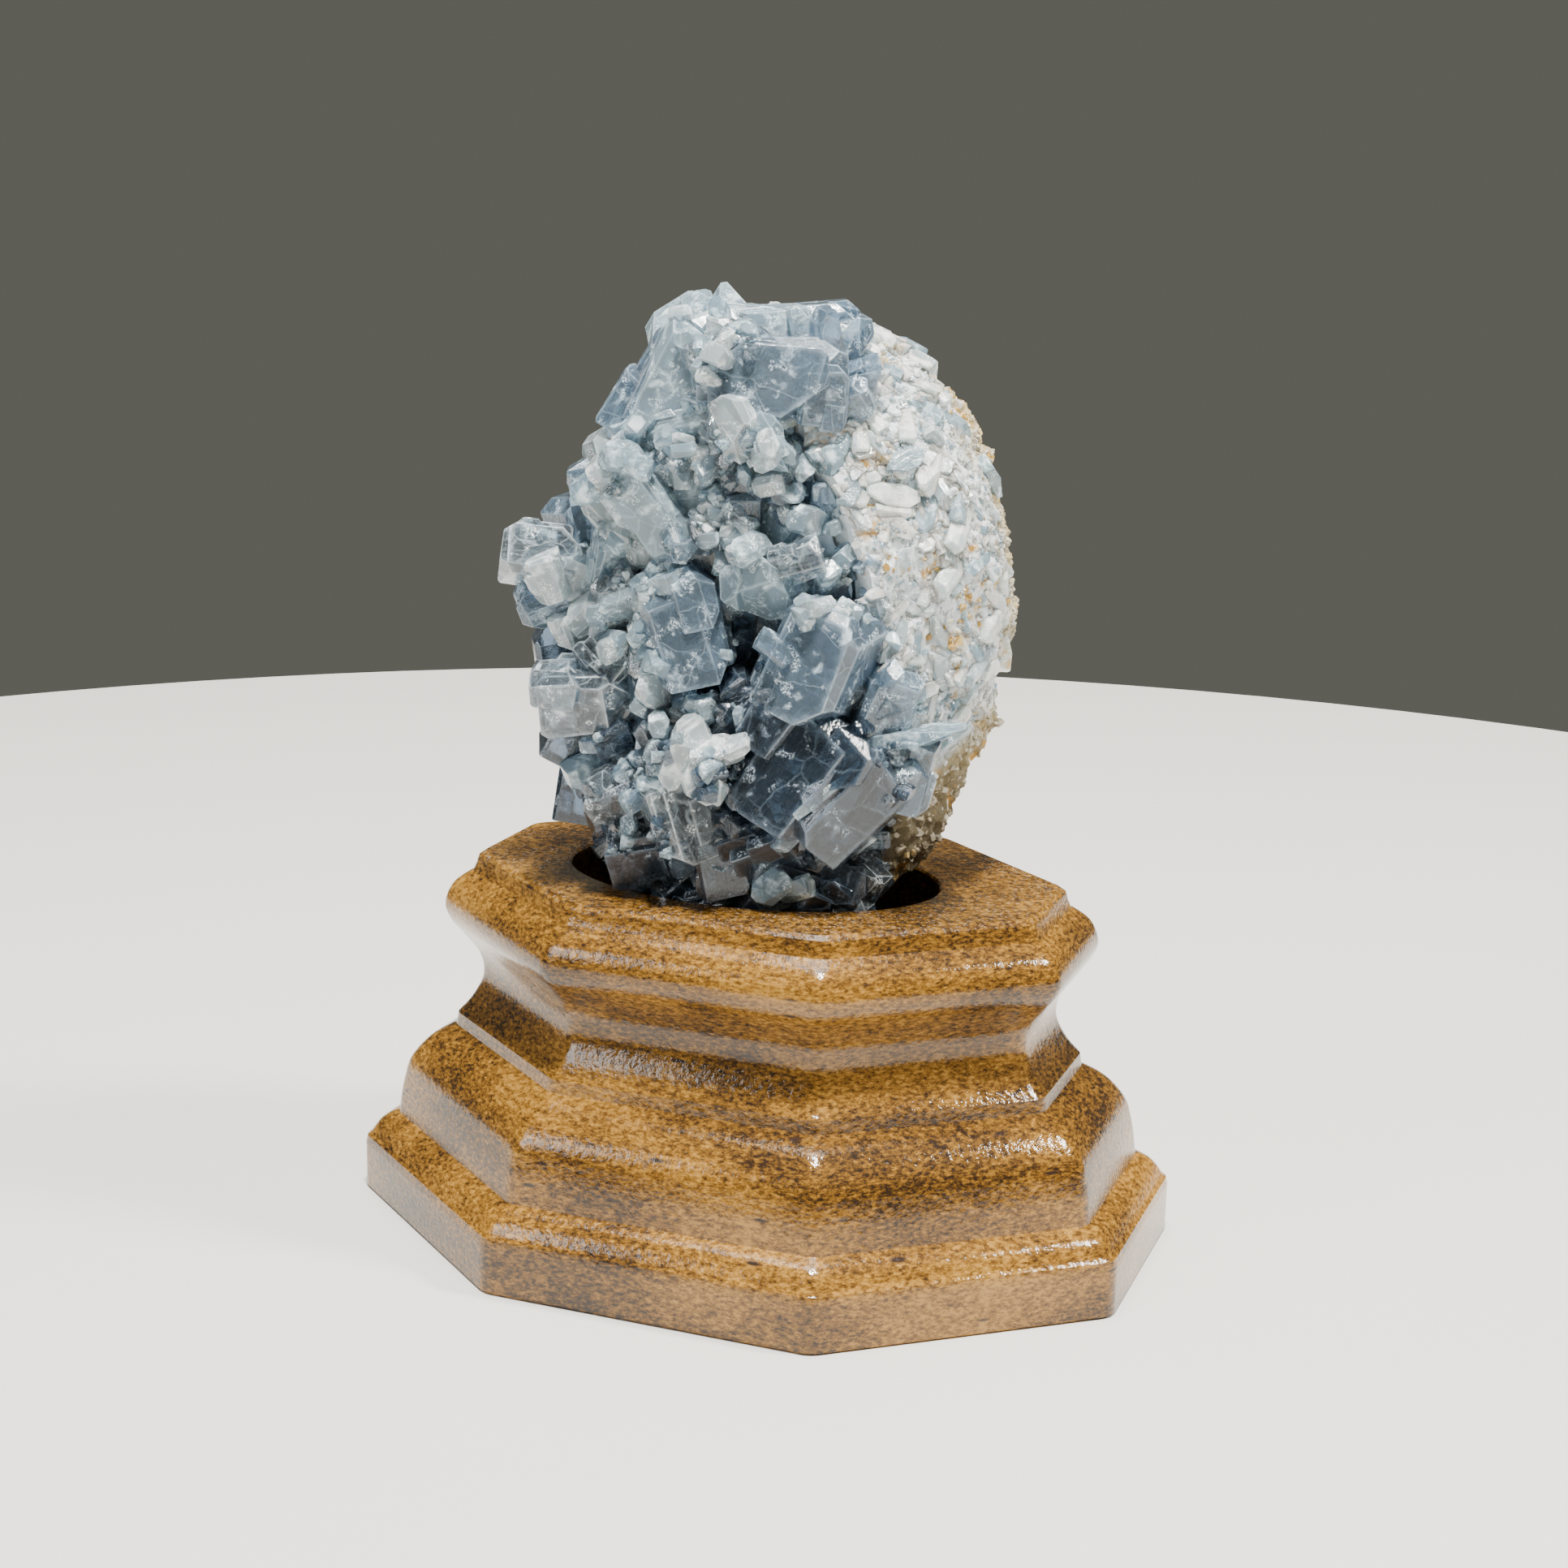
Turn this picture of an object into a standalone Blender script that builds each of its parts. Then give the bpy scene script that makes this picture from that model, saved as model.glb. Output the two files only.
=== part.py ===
"""Celestite cluster resting in the oval recess of a moulded octagonal stand.

Three pieces: the varnished fibreboard stand, the rounded wall rock (matrix)
that the crystals grew on, and the celestite crystals, grown into one another.
The stand's long side lies along X and its front edge faces -Y. The specimen is
turned in the recess, so it is modelled in its own frame, where X runs along
its broad face, -Y is the side of the crystals and Z is up, in millimetres.
"""
import math
import random

import bmesh
import bpy
from mathutils import Matrix, Vector, noise

MM = 0.001
GAP = 0.3                        # room left between pieces that touch

# Stand
STAND_HALF_WIDTH = 60.0
STAND_HALF_DEPTH = 45.4
CORNER_CUT_X = 35.2              # how much of the long side each corner cut takes
CORNER_CUT_Y = 28.1              # how much of the short side each corner cut takes
STAND_TOP = 54.3
CORNER_SOFTNESS = 1.5            # the eight upright corners are sanded round
# Moulding from the floor to the top: how far in from the plan, and how high
MOULDING = (
    (0.3, 0.0), (0.0, 0.4), (0.0, 7.5), (0.7, 8.9), (2.4, 11.2), (4.7, 12.3),
    (4.8, 13.0), (5.1, 15.5), (5.5, 17.8), (6.5, 21.2), (9.3, 24.6), (12.8, 26.7),
    (13.1, 28.6), (15.0, 31.0), (16.6, 34.6), (16.1, 38.2), (13.9, 41.4),
    (12.2, 43.6), (11.4, 46.2), (12.6, 49.3), (15.3, 51.4), (15.8, 53.4), (16.9, STAND_TOP),
)

# Oval recess in the stand's top
RECESS_CENTRE = (-1.5, -2.0)
RECESS_HALF = (28.5, 18.5)
RECESS_FLOOR = 42.0
RECESS_STEPS = 40
RIM_FLARE = 0.8

# Specimen: an egg-shaped nodule, widest above its middle, leaning to the right
SPECIMEN_TURN = math.radians(20.5)
NODULE_MIDDLE = 88.0
NODULE_UP = 49.0
NODULE_DOWN = NODULE_MIDDLE - RECESS_FLOOR - GAP
NODULE_HALF_WIDTH = 31.4
NODULE_HALF_DEPTH = 24.0
NODULE_LEAN = 5.5                # how far the upper half sits to the right
SKIN_LUMP = 1.7                  # height of the lumps in the nodule's skin

# The flat break between the crystals and the wall rock they grew on
BREAK_POINT = Vector((5.0, -17.0, 119.0))
BREAK_NORMAL = Vector((0.76, 0.61, 0.19)).normalized()

# Hollows between the crystals: place (right, up), depth and radius
HOLLOWS = ((-4.0, 98.0, 6.0, 11.0), (-1.0, 86.5, 9.0, 5.5))

PRISM_ANGLE = math.radians(38.0)     # between a celestite's broad face and its prism face
DOME_ANGLE = math.radians(51.0)      # slope of the faces at its end

# How deep the prism, end and side cuts go, as shares of the corner's distance
BLOCK = (0.19, 0.27, 0.20)
POINT = (0.22, 0.45, 0.36)
BLADE = (0.12, 0.34, 0.14)

# Crystals placed by hand. Each: right, up, towards the viewer (of its front
# face), length, width, thickness, lean from level, tilt forward, spin, form
CRYSTALS = (
    # crown
    (-7.2, 135.2, 3.0, 12.0, 7.0, 6.0, 97, 0, 15, POINT),
    (-1.0, 128.6, 14.0, 19.0, 11.5, 12.0, 4, -4, 12, BLOCK),
    (-14.5, 128.5, 8.0, 17.0, 10.0, 11.0, 62, 0, -20, BLOCK),
    (-5.0, 131.0, 4.0, 13.0, 12.0, 12.0, 85, 0, 20, BLOCK),
    (5.5, 131.5, 5.0, 13.0, 11.0, 11.0, 95, 0, 10, BLOCK),
    (2.6, 134.2, 9.0, 8.0, 3.2, 3.4, 117, 8, 10, BLADE),
    (5.3, 133.8, 11.0, 9.0, 3.4, 3.4, 98, 12, 30, BLADE),
    (8.4, 134.2, 9.0, 9.0, 3.6, 3.4, 74, 8, -10, BLADE),
    (9.4, 131.2, 12.0, 8.0, 3.6, 3.6, 52, 18, 25, BLADE),
    (-19.5, 120.5, 6.0, 12.0, 9.0, 10.0, 125, 5, 15, BLOCK),
    # upper left
    (-5.4, 123.4, 19.0, 9.5, 5.2, 5.0, -62, 18, 25, POINT),
    (-1.8, 120.6, 20.0, 8.5, 4.8, 5.0, -48, 22, -10, POINT),
    (-21.8, 117.0, 7.0, 10.0, 8.0, 9.0, 142, 10, 22, BLOCK),
    (-16.4, 118.2, 13.0, 9.0, 7.5, 8.0, 118, 18, -8, BLOCK),
    (-11.2, 120.2, 15.5, 9.0, 7.0, 7.0, 64, 14, 30, BLOCK),
    (-17.8, 110.9, 17.0, 19.0, 7.6, 7.5, -56, 4, 20, BLOCK),
    (-25.5, 111.5, 6.0, 11.0, 8.5, 9.0, 128, 0, 10, BLOCK),
    (-28.6, 105.2, 4.0, 10.0, 8.0, 9.0, 104, 0, 32, BLOCK),
    (-34.2, 100.8, 9.0, 12.5, 9.0, 9.0, 168, 4, 25, BLOCK),
    (-33.0, 94.4, 7.0, 8.0, 6.0, 6.0, 202, 8, 0, BLOCK),
    (-22.4, 103.6, 13.0, 9.0, 7.6, 7.0, 80, 14, 16, BLOCK),
    (-27.6, 98.4, 8.0, 11.0, 8.0, 9.0, 152, 8, -12, BLOCK),
    # middle
    (-11.2, 113.0, 16.5, 10.0, 8.0, 8.0, 75, 8, -18, BLOCK),
    (-5.6, 115.6, 18.5, 11.0, 7.2, 8.0, 82, 8, 8, BLOCK),
    (0.6, 113.4, 18.5, 10.0, 8.0, 8.0, 100, 6, 30, BLOCK),
    (-4.6, 109.2, 19.0, 9.0, 7.2, 7.0, 58, 10, 24, BLOCK),
    (-9.2, 105.0, 18.0, 10.0, 7.2, 7.0, 70, 4, -8, BLOCK),
    (-12.6, 93.0, 22.0, 15.0, 12.0, 10.0, 97, -2, -10, BLOCK),
    (-19.5, 97.0, 15.5, 9.0, 8.0, 8.0, 40, 10, 12, BLOCK),
    (-1.6, 101.4, 22.5, 11.5, 8.8, 9.0, -76, 8, 32, POINT),
    (3.4, 104.6, 24.0, 7.0, 6.0, 6.0, 18, 4, 42, BLOCK),
    (2.6, 93.6, 17.0, 10.5, 7.6, 9.0, 88, 0, 0, BLOCK),
    (9.4, 101.0, 19.5, 9.5, 6.4, 7.0, 68, 0, 22, BLOCK),
    (7.4, 90.6, 27.5, 17.5, 13.8, 14.0, 78, 2, -22, BLOCK),
    # lower left
    (-25.8, 93.4, 12.0, 7.0, 6.0, 6.0, 35, 18, 12, BLOCK),
    (-29.8, 91.6, 8.0, 6.5, 6.0, 6.0, 110, 10, 35, BLOCK),
    (-31.6, 86.8, 5.0, 9.0, 6.5, 8.0, 98, 0, 10, BLOCK),
    (-22.6, 88.4, 16.0, 9.0, 7.5, 8.0, -42, 16, 0, BLOCK),
    (-26.0, 83.2, 16.5, 13.5, 10.0, 11.0, 8, 4, 15, BLOCK),
    (-28.6, 75.4, 8.0, 9.0, 8.0, 9.0, 60, 0, 12, BLOCK),
    (-27.8, 67.6, 4.0, 12.0, 7.0, 9.0, 82, 0, 0, BLOCK),
    (-20.6, 77.6, 15.0, 9.0, 8.0, 8.0, 30, 6, 30, BLOCK),
    # lower middle
    (-14.0, 84.6, 19.5, 10.0, 8.0, 8.0, 70, 4, 18, BLOCK),
    (-4.6, 82.8, 20.5, 12.5, 10.5, 10.0, 56, 6, 25, BLOCK),
    (-10.6, 79.4, 26.0, 8.0, 5.2, 6.0, 66, 14, 8, POINT),
    (-7.2, 77.2, 27.0, 8.0, 5.0, 6.0, 16, 10, 30, POINT),
    (-9.6, 73.6, 26.5, 9.0, 6.0, 6.0, -72, 10, 10, POINT),
    (-13.0, 76.4, 24.5, 7.0, 5.0, 6.0, 150, 10, 0, POINT),
    (7.6, 73.4, 27.5, 22.0, 19.0, 18.0, 58, 0, 10, BLOCK),
    (16.8, 81.4, 23.5, 13.0, 9.5, 9.0, -22, 0, 16, BLOCK),
    (-20.6, 69.4, 18.5, 10.0, 8.5, 9.0, 24, 10, 30, BLOCK),
    (-12.4, 67.2, 23.0, 13.0, 10.0, 10.0, 102, 2, 22, BLOCK),
    (-17.6, 61.4, 16.5, 10.0, 8.0, 9.0, 12, 0, 24, BLOCK),
    (-6.4, 62.0, 20.5, 11.0, 7.6, 9.0, 84, 0, 4, BLOCK),
    (-0.6, 63.6, 21.5, 10.0, 8.0, 8.0, 22, 0, 32, BLOCK),
    (6.0, 60.4, 17.5, 11.0, 9.0, 9.0, 70, 0, 12, BLOCK),
    (-2.0, 55.6, 16.5, 9.0, 6.0, 7.0, 6, 0, 20, BLOCK),
)

# Small crystals that fill in between, grown at random places
FILLER_COUNT = 29
FILLER_SIZE = (5.5, 8.5)
WALL_COUNT = 30
WALL_SIZE = (5.0, 8.0)
GROWTH_SEED = 11


def clear_scene():
    """Remove whatever the file holds at the start."""
    for obj in list(bpy.data.objects):
        bpy.data.objects.remove(obj, do_unlink=True)


def add_collection(name):
    """Add a collection to the scene and return it."""
    collection = bpy.data.collections.new(name)
    bpy.context.scene.collection.children.link(collection)
    return collection


def add_object(name, bm, collection, parent=None):
    """Turn a bmesh in millimetres into an object in metres."""
    bmesh.ops.recalc_face_normals(bm, faces=bm.faces)
    bmesh.ops.scale(bm, vec=Vector((MM, MM, MM)), verts=bm.verts)
    mesh = bpy.data.meshes.new(name)
    bm.to_mesh(mesh)
    bm.free()
    obj = bpy.data.objects.new(name, mesh)
    obj.parent = parent
    collection.objects.link(obj)
    return obj


def add_material(obj, name, colour, roughness, transmission=0.0, coat=0.0):
    """Give an object its own Principled material."""
    material = bpy.data.materials.new(name)
    material.use_nodes = True
    shader = material.node_tree.nodes["Principled BSDF"]
    shader.inputs["Base Color"].default_value = (*colour, 1.0)
    shader.inputs["Roughness"].default_value = roughness
    shader.inputs["Transmission Weight"].default_value = transmission
    shader.inputs["Coat Weight"].default_value = coat
    material.diffuse_color = (*colour, 1.0)
    obj.data.materials.clear()
    obj.data.materials.append(material)


def add_boolean(obj, operation, other):
    """Add an exact Boolean with an object or with all of a collection."""
    modifier = obj.modifiers.new(operation.lower(), "BOOLEAN")
    modifier.operation = operation
    modifier.solver = "EXACT"
    if isinstance(other, bpy.types.Collection):
        modifier.operand_type = "COLLECTION"
        modifier.collection = other
    else:
        modifier.object = other
    return modifier


def as_cutter(obj):
    """Mark an object as a tool that is not part of the model."""
    obj.hide_render = True
    obj.display_type = "WIRE"
    return obj


def loft(rings):
    """Skin a stack of closed rings by extruding the first one up, ring by ring."""
    bm = bmesh.new()
    verts = [bm.verts.new(point) for point in rings[0]]
    bm.faces.new(verts)
    edges = list(bm.edges)
    for ring in rings[1:]:
        made = bmesh.ops.extrude_edge_only(bm, edges=edges)["geom"]
        fresh = [item for item in made if isinstance(item, bmesh.types.BMVert)]
        for vert, point in zip(fresh, ring):
            vert.co = point
        edges = [item for item in made if isinstance(item, bmesh.types.BMEdge)
                 and item.verts[0] in fresh and item.verts[1] in fresh]
    bmesh.ops.contextual_create(bm, geom=edges)
    return bm


def octagon(inset):
    """The eight corners of the stand's plan, moved in by the inset, counter-clockwise."""
    width = STAND_HALF_WIDTH - inset
    depth = STAND_HALF_DEPTH - inset
    normal = Vector((CORNER_CUT_Y, CORNER_CUT_X)).normalized()
    edge = Vector((STAND_HALF_WIDTH, STAND_HALF_DEPTH - CORNER_CUT_Y))
    reach = normal.dot(edge) - inset
    side = (reach - normal.x * width) / normal.y
    front = (reach - normal.y * depth) / normal.x
    return [Vector(corner) for corner in (
        (width, -side), (width, side), (front, depth), (-front, depth),
        (-width, side), (-width, -side), (-front, -depth), (front, -depth))]


def soft_corner_ring(inset, height):
    """An octagon ring whose corners are each three points round a soft bend."""
    corners = octagon(inset)
    ring = []
    for index, corner in enumerate(corners):
        before = (corners[index - 1] - corner).normalized() * CORNER_SOFTNESS
        after = (corners[(index + 1) % 8] - corner).normalized() * CORNER_SOFTNESS
        for offset in (before, (before + after) * 0.25, after):
            point = corner + offset
            ring.append(Vector((point.x, point.y, height)))
    return ring


def oval_ring(grow, height):
    """A ring of the recess, made larger by grow all round."""
    ring = []
    for step in range(RECESS_STEPS):
        angle = 2 * math.pi * step / RECESS_STEPS
        x = RECESS_CENTRE[0] + (RECESS_HALF[0] + grow) * math.cos(angle)
        y = RECESS_CENTRE[1] + (RECESS_HALF[1] + grow) * math.sin(angle)
        ring.append(Vector((x, y, height)))
    return ring


def smooth_step(low, high, value):
    """0 below low, 1 above high and an even S between them."""
    share = min(max((value - low) / (high - low), 0.0), 1.0)
    return share * share * (3 - 2 * share)


def nodule_point(direction, shrink):
    """The point of the nodule's surface in a direction from its middle."""
    rise = NODULE_UP if direction.z > 0 else NODULE_DOWN
    z = NODULE_MIDDLE + direction.z * (rise - shrink)
    x = direction.x * (NODULE_HALF_WIDTH - shrink) + NODULE_LEAN * smooth_step(55, 115, z)
    y = direction.y * (NODULE_HALF_DEPTH - shrink)
    return Vector((x, y, z))


def nodule(shrink, lump, hollows=()):
    """The nodule as a lumpy egg, with hollows pressed into its front."""
    bm = bmesh.new()
    bmesh.ops.create_icosphere(bm, subdivisions=4, radius=1.0)
    for vert in bm.verts:
        direction = vert.co.normalized()
        point = nodule_point(direction, shrink)
        swell = noise.noise(point / 9.0) + 0.5 * noise.noise(point / 4.0)
        if point.z > STAND_TOP:
            point += direction * lump * swell
        if direction.y < 0:
            for right, up, depth, radius in hollows:
                away = ((point.x - right) ** 2 + (point.z - up) ** 2) / (2 * radius ** 2)
                point.y += depth * math.exp(-away)
        vert.co = point
    return bm


def cut_plane(bm, point, normal):
    """Cut away everything on the normal's side and close the cut."""
    geometry = bm.verts[:] + bm.edges[:] + bm.faces[:]
    cut = bmesh.ops.bisect_plane(
        bm, geom=geometry, plane_co=point, plane_no=normal, dist=1e-5, clear_outer=True)
    edges = [item for item in cut["geom_cut"] if isinstance(item, bmesh.types.BMEdge)]
    if edges:
        bmesh.ops.holes_fill(bm, edges=edges)


def crystal(length, width, thickness, form, grow, dice):
    """A blocky celestite prism with sloping ends, lying round the origin along Z."""
    half = Vector((width / 2, thickness / 2, length / 2))
    bm = bmesh.new()
    bmesh.ops.create_cube(bm, size=2.0)
    bmesh.ops.scale(bm, vec=half + Vector((grow, grow, grow)), verts=bm.verts)
    prism, dome, side = form
    across = math.cos(PRISM_ANGLE)
    along = math.sin(PRISM_ANGLE)
    slope = math.sin(DOME_ANGLE)
    rise = math.cos(DOME_ANGLE)
    cuts = [(Vector((x * across, y * along, 0)), prism) for x in (-1, 1) for y in (-1, 1)]
    cuts += [(Vector((x * slope, 0, rise)), dome) for x in (-1, 1)]
    cuts += [(Vector((0, y * slope, rise)), side) for y in (-1, 1)]
    for normal, share in cuts:
        corner = sum(abs(a) * b for a, b in zip(normal, half))
        depth = share * dice.uniform(0.6, 1.4)
        cut_plane(bm, normal * (corner * (1 - depth) + grow), normal)
    return bm


def stand_up(bm, centre, lean, tilt, spin):
    """Turn a crystal so that its length leans and tilts as given, and place it."""
    axis = Vector((math.cos(lean) * math.cos(tilt), -math.sin(tilt),
                   math.sin(lean) * math.cos(tilt)))
    viewer = Vector((0, -1, 0))
    face = (viewer - axis * axis.dot(viewer)).normalized()
    side = face.cross(axis)
    turn = Matrix((side, face, axis)).transposed()
    turn = turn @ Matrix.Rotation(spin, 3, "Z")
    bmesh.ops.transform(bm, matrix=Matrix.Translation(centre) @ turn.to_4x4(), verts=bm.verts)
    return bm


def placed_crystal(row, grow, dice):
    """One crystal from the list of those placed by hand."""
    right, up, front, length, width, thickness, lean, tilt, spin, form = row
    bm = crystal(length, width, thickness, form, grow, dice)
    centre = Vector((right, -(front - thickness / 2), up))
    return stand_up(bm, centre, math.radians(lean), math.radians(tilt), math.radians(spin))


def grown_crystal(point, outward, size, form, sink, grow, dice):
    """A small crystal standing on the surface, roughly along its normal."""
    length = size * dice.uniform(1.0, 1.5)
    bm = crystal(length, size, size * dice.uniform(0.6, 0.9), form, grow, dice)
    wander = Vector((dice.uniform(-1, 1), dice.uniform(-1, 1), dice.uniform(-1, 1)))
    axis = (outward + wander * 0.55).normalized()
    lean = math.atan2(axis.z, axis.x)
    tilt = math.asin(-axis.y)
    centre = point + outward * (length / 2 - sink * length)
    return stand_up(bm, centre, lean, tilt, dice.uniform(0, math.pi))


def side_of_break(point):
    """Above zero in the wall rock, below zero among the crystals."""
    return (point - BREAK_POINT).dot(BREAK_NORMAL)


def growth_places(count, wanted, dice):
    """Places on the nodule, each with its outward direction, that pass a test."""
    places = []
    while len(places) < count:
        direction = Vector((dice.gauss(0, 1), dice.gauss(0, 1), dice.gauss(0, 1)))
        direction.normalize()
        point = nodule_point(direction, 1.0)
        if wanted(point) and all((point - other).length > 3.5 for other, _ in places):
            places.append((point, direction))
    return places


def filler_rows(dice):
    """Seeds for the small crystals among the large ones, in front and at the left."""
    places = growth_places(
        FILLER_COUNT,
        lambda p: side_of_break(p) < -1.0 and p.z > STAND_TOP + 4 and p.z < 128, dice)
    return [(p, d, dice.uniform(*FILLER_SIZE), dice.random()) for p, d in places]


def wall_rows(dice):
    """Seeds for the small crystals of the broken wall, in front at the right."""
    places = growth_places(
        WALL_COUNT,
        lambda p: side_of_break(p) > 1.0 and p.y < 2 and p.z > 66, dice)
    return [(p, d, dice.uniform(*WALL_SIZE), dice.random()) for p, d in places]


def add_grown(rows, sink, grow, collection, parent, name):
    """Add the small crystals of a list as shapes to be fused or cut."""
    for number, (point, outward, size, seed) in enumerate(rows):
        dice = random.Random(seed)
        bm = grown_crystal(point, outward, size, BLOCK, sink, grow, dice)
        as_cutter(add_object(f"{name}_{number}", bm, collection, parent))


def add_placed(grow, collection, parent, name):
    """Add the crystals placed by hand as shapes to be fused or cut."""
    for number, row in enumerate(CRYSTALS):
        bm = placed_crystal(row, grow, random.Random(number))
        as_cutter(add_object(f"{name}_{number}", bm, collection, parent))


def body_volume(faces):
    """Volume held by a closed set of faces, in cubic metres."""
    total = 0.0
    for face in faces:
        corners = [vert.co for vert in face.verts]
        for index in range(1, len(corners) - 1):
            total += corners[0].dot(corners[index].cross(corners[index + 1])) / 6
    return total


def loose_bodies(bm):
    """The separate closed skins of a bmesh, each a list of faces."""
    seen = set()
    bodies = []
    for start in bm.faces:
        if start in seen:
            continue
        seen.add(start)
        body = [start]
        for face in body:
            for edge in face.edges:
                for other in edge.link_faces:
                    if other not in seen:
                        seen.add(other)
                        body.append(other)
        bodies.append(body)
    return bodies


def settle(source, name, collection):
    """Work out an object's modifiers, keep its one main body and drop the rest."""
    bpy.context.view_layer.update()
    depsgraph = bpy.context.evaluated_depsgraph_get()
    mesh = bpy.data.meshes.new_from_object(source.evaluated_get(depsgraph))
    mesh.transform(source.matrix_world)
    bm = bmesh.new()
    bm.from_mesh(mesh)
    bmesh.ops.triangulate(bm, faces=bm.faces)
    bmesh.ops.dissolve_degenerate(bm, dist=1e-6, edges=bm.edges)
    bodies = sorted(loose_bodies(bm), key=body_volume)
    for body in bodies[:-1]:
        bmesh.ops.delete(bm, geom=body, context="FACES")
    bm.to_mesh(mesh)
    bm.free()
    bpy.data.objects.remove(source, do_unlink=True)
    obj = bpy.data.objects.new(name, mesh)
    collection.objects.link(obj)
    return obj


def build_stand(parts, tools):
    """The moulded stand with its oval recess."""
    rings = [soft_corner_ring(inset, height) for inset, height in MOULDING]
    stand = add_object("stand", loft(rings), parts)
    levels = ((0.0, RECESS_FLOOR), (0.0, STAND_TOP - RIM_FLARE),
              (RIM_FLARE, STAND_TOP), (RIM_FLARE, STAND_TOP + 5))
    recess = add_object("recess", loft([oval_ring(*level) for level in levels]), tools)
    add_boolean(stand, "DIFFERENCE", as_cutter(recess))
    add_material(stand, "varnished_fibreboard", (0.42, 0.24, 0.10), 0.35, coat=0.6)
    return stand


def build_stand_clearance(tools):
    """The room that the stand takes up, for cutting the specimen to its recess."""
    bm = bmesh.new()
    bmesh.ops.create_cube(bm, size=1.0)
    height = STAND_TOP + GAP - 10
    size = Vector((3 * STAND_HALF_WIDTH, 3 * STAND_HALF_WIDTH, height))
    bmesh.ops.scale(bm, vec=size, verts=bm.verts)
    bmesh.ops.translate(bm, vec=Vector((0, 0, 10 + height / 2)), verts=bm.verts)
    block = as_cutter(add_object("stand_room", bm, tools))
    levels = ((-2 * GAP, RECESS_FLOOR + GAP), (-2 * GAP, STAND_TOP + 5))
    well = as_cutter(add_object("recess_room", loft([oval_ring(*x) for x in levels]), tools))
    add_boolean(block, "DIFFERENCE", well)
    return block


def build_crystals(parts, tools, pivot, stand_room, fillers):
    """All crystals, fused with the mass they grow from."""
    shapes = bpy.data.collections.new("crystal_shapes")
    tools.children.link(shapes)
    add_placed(0.0, shapes, pivot, "crystal")
    add_grown(fillers, 0.45, 0.0, shapes, pivot, "filler")
    bm = nodule(2.0, 0.0, HOLLOWS)
    cut_plane(bm, BREAK_POINT - BREAK_NORMAL * GAP / 2, BREAK_NORMAL)
    mass = add_object("crystal_mass", bm, tools, pivot)
    add_boolean(mass, "UNION", shapes)
    add_boolean(mass, "DIFFERENCE", stand_room)
    crystals = settle(mass, "celestite_crystals", parts)
    add_material(crystals, "celestite", (0.52, 0.62, 0.74), 0.12, transmission=0.6)
    return crystals


def build_matrix(parts, tools, pivot, stand_room, fillers, walls):
    """The rounded wall rock with its broken, crystalline front."""
    shapes = bpy.data.collections.new("wall_shapes")
    tools.children.link(shapes)
    add_grown(walls, 0.62, 0.0, shapes, pivot, "wall")
    room = bpy.data.collections.new("crystal_room")
    tools.children.link(room)
    add_placed(GAP, room, pivot, "crystal_room")
    add_grown(fillers, 0.45, GAP, room, pivot, "filler_room")
    bm = nodule(0.0, SKIN_LUMP)
    cut_plane(bm, BREAK_POINT + BREAK_NORMAL * GAP / 2, -BREAK_NORMAL)
    rock = add_object("wall_rock", bm, tools, pivot)
    add_boolean(rock, "UNION", shapes)
    bm = bmesh.new()
    bmesh.ops.create_cube(bm, size=300.0)
    side = BREAK_NORMAL.to_track_quat("Z", "Y").to_matrix().to_4x4()
    shift = Matrix.Translation(BREAK_POINT + BREAK_NORMAL * (GAP / 2 - 150.0))
    bmesh.ops.transform(bm, matrix=shift @ side, verts=bm.verts)
    front_room = as_cutter(add_object("front_room", bm, tools, pivot))
    add_boolean(rock, "DIFFERENCE", front_room)
    add_boolean(rock, "DIFFERENCE", room)
    add_boolean(rock, "DIFFERENCE", stand_room)
    matrix = settle(rock, "matrix", parts)
    add_material(matrix, "wall_rock", (0.55, 0.50, 0.42), 0.85)
    return matrix


def main():
    """Build the stand, the matrix and the crystals."""
    clear_scene()
    parts = add_collection("celestite_cluster")
    tools = add_collection("cutters")
    pivot = bpy.data.objects.new("specimen", None)
    pivot.rotation_euler.z = SPECIMEN_TURN
    tools.objects.link(pivot)
    dice = random.Random(GROWTH_SEED)
    fillers = filler_rows(dice)
    walls = wall_rows(dice)
    stand_room = build_stand_clearance(tools)
    build_stand(parts, tools)
    build_crystals(parts, tools, pivot, stand_room, fillers)
    build_matrix(parts, tools, pivot, stand_room, fillers, walls)


main()
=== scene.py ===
"""Looks of a celestite cluster that rests in a varnished fibreboard stand.

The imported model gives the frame. The stand, the wall rock and the crystals are
each replaced by finer meshes of the same form. The specimen is modelled in its
own frame in millimetres: X along its broad face, -Y towards the crystals, Z up.
"""
from __future__ import annotations

import logging
import math
import random
from dataclasses import dataclass, field
from enum import Enum

import bmesh
import bpy
import numpy as np
from mathutils import Matrix, Vector, noise
from mathutils.bvhtree import BVHTree


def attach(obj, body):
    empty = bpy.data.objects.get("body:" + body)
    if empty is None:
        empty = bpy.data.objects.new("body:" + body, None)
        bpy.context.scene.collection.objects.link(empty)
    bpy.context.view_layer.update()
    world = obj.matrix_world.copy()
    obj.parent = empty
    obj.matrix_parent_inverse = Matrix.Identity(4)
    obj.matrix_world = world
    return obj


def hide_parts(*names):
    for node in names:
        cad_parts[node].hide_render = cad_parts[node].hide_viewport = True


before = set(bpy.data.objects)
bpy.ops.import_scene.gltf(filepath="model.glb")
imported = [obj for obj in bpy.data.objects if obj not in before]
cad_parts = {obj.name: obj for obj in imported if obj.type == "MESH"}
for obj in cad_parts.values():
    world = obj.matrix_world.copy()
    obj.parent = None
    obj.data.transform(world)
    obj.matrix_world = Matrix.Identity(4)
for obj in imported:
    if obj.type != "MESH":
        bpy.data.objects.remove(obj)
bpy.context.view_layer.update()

LOG = logging.getLogger("celestite")
MM = 0.001
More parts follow.
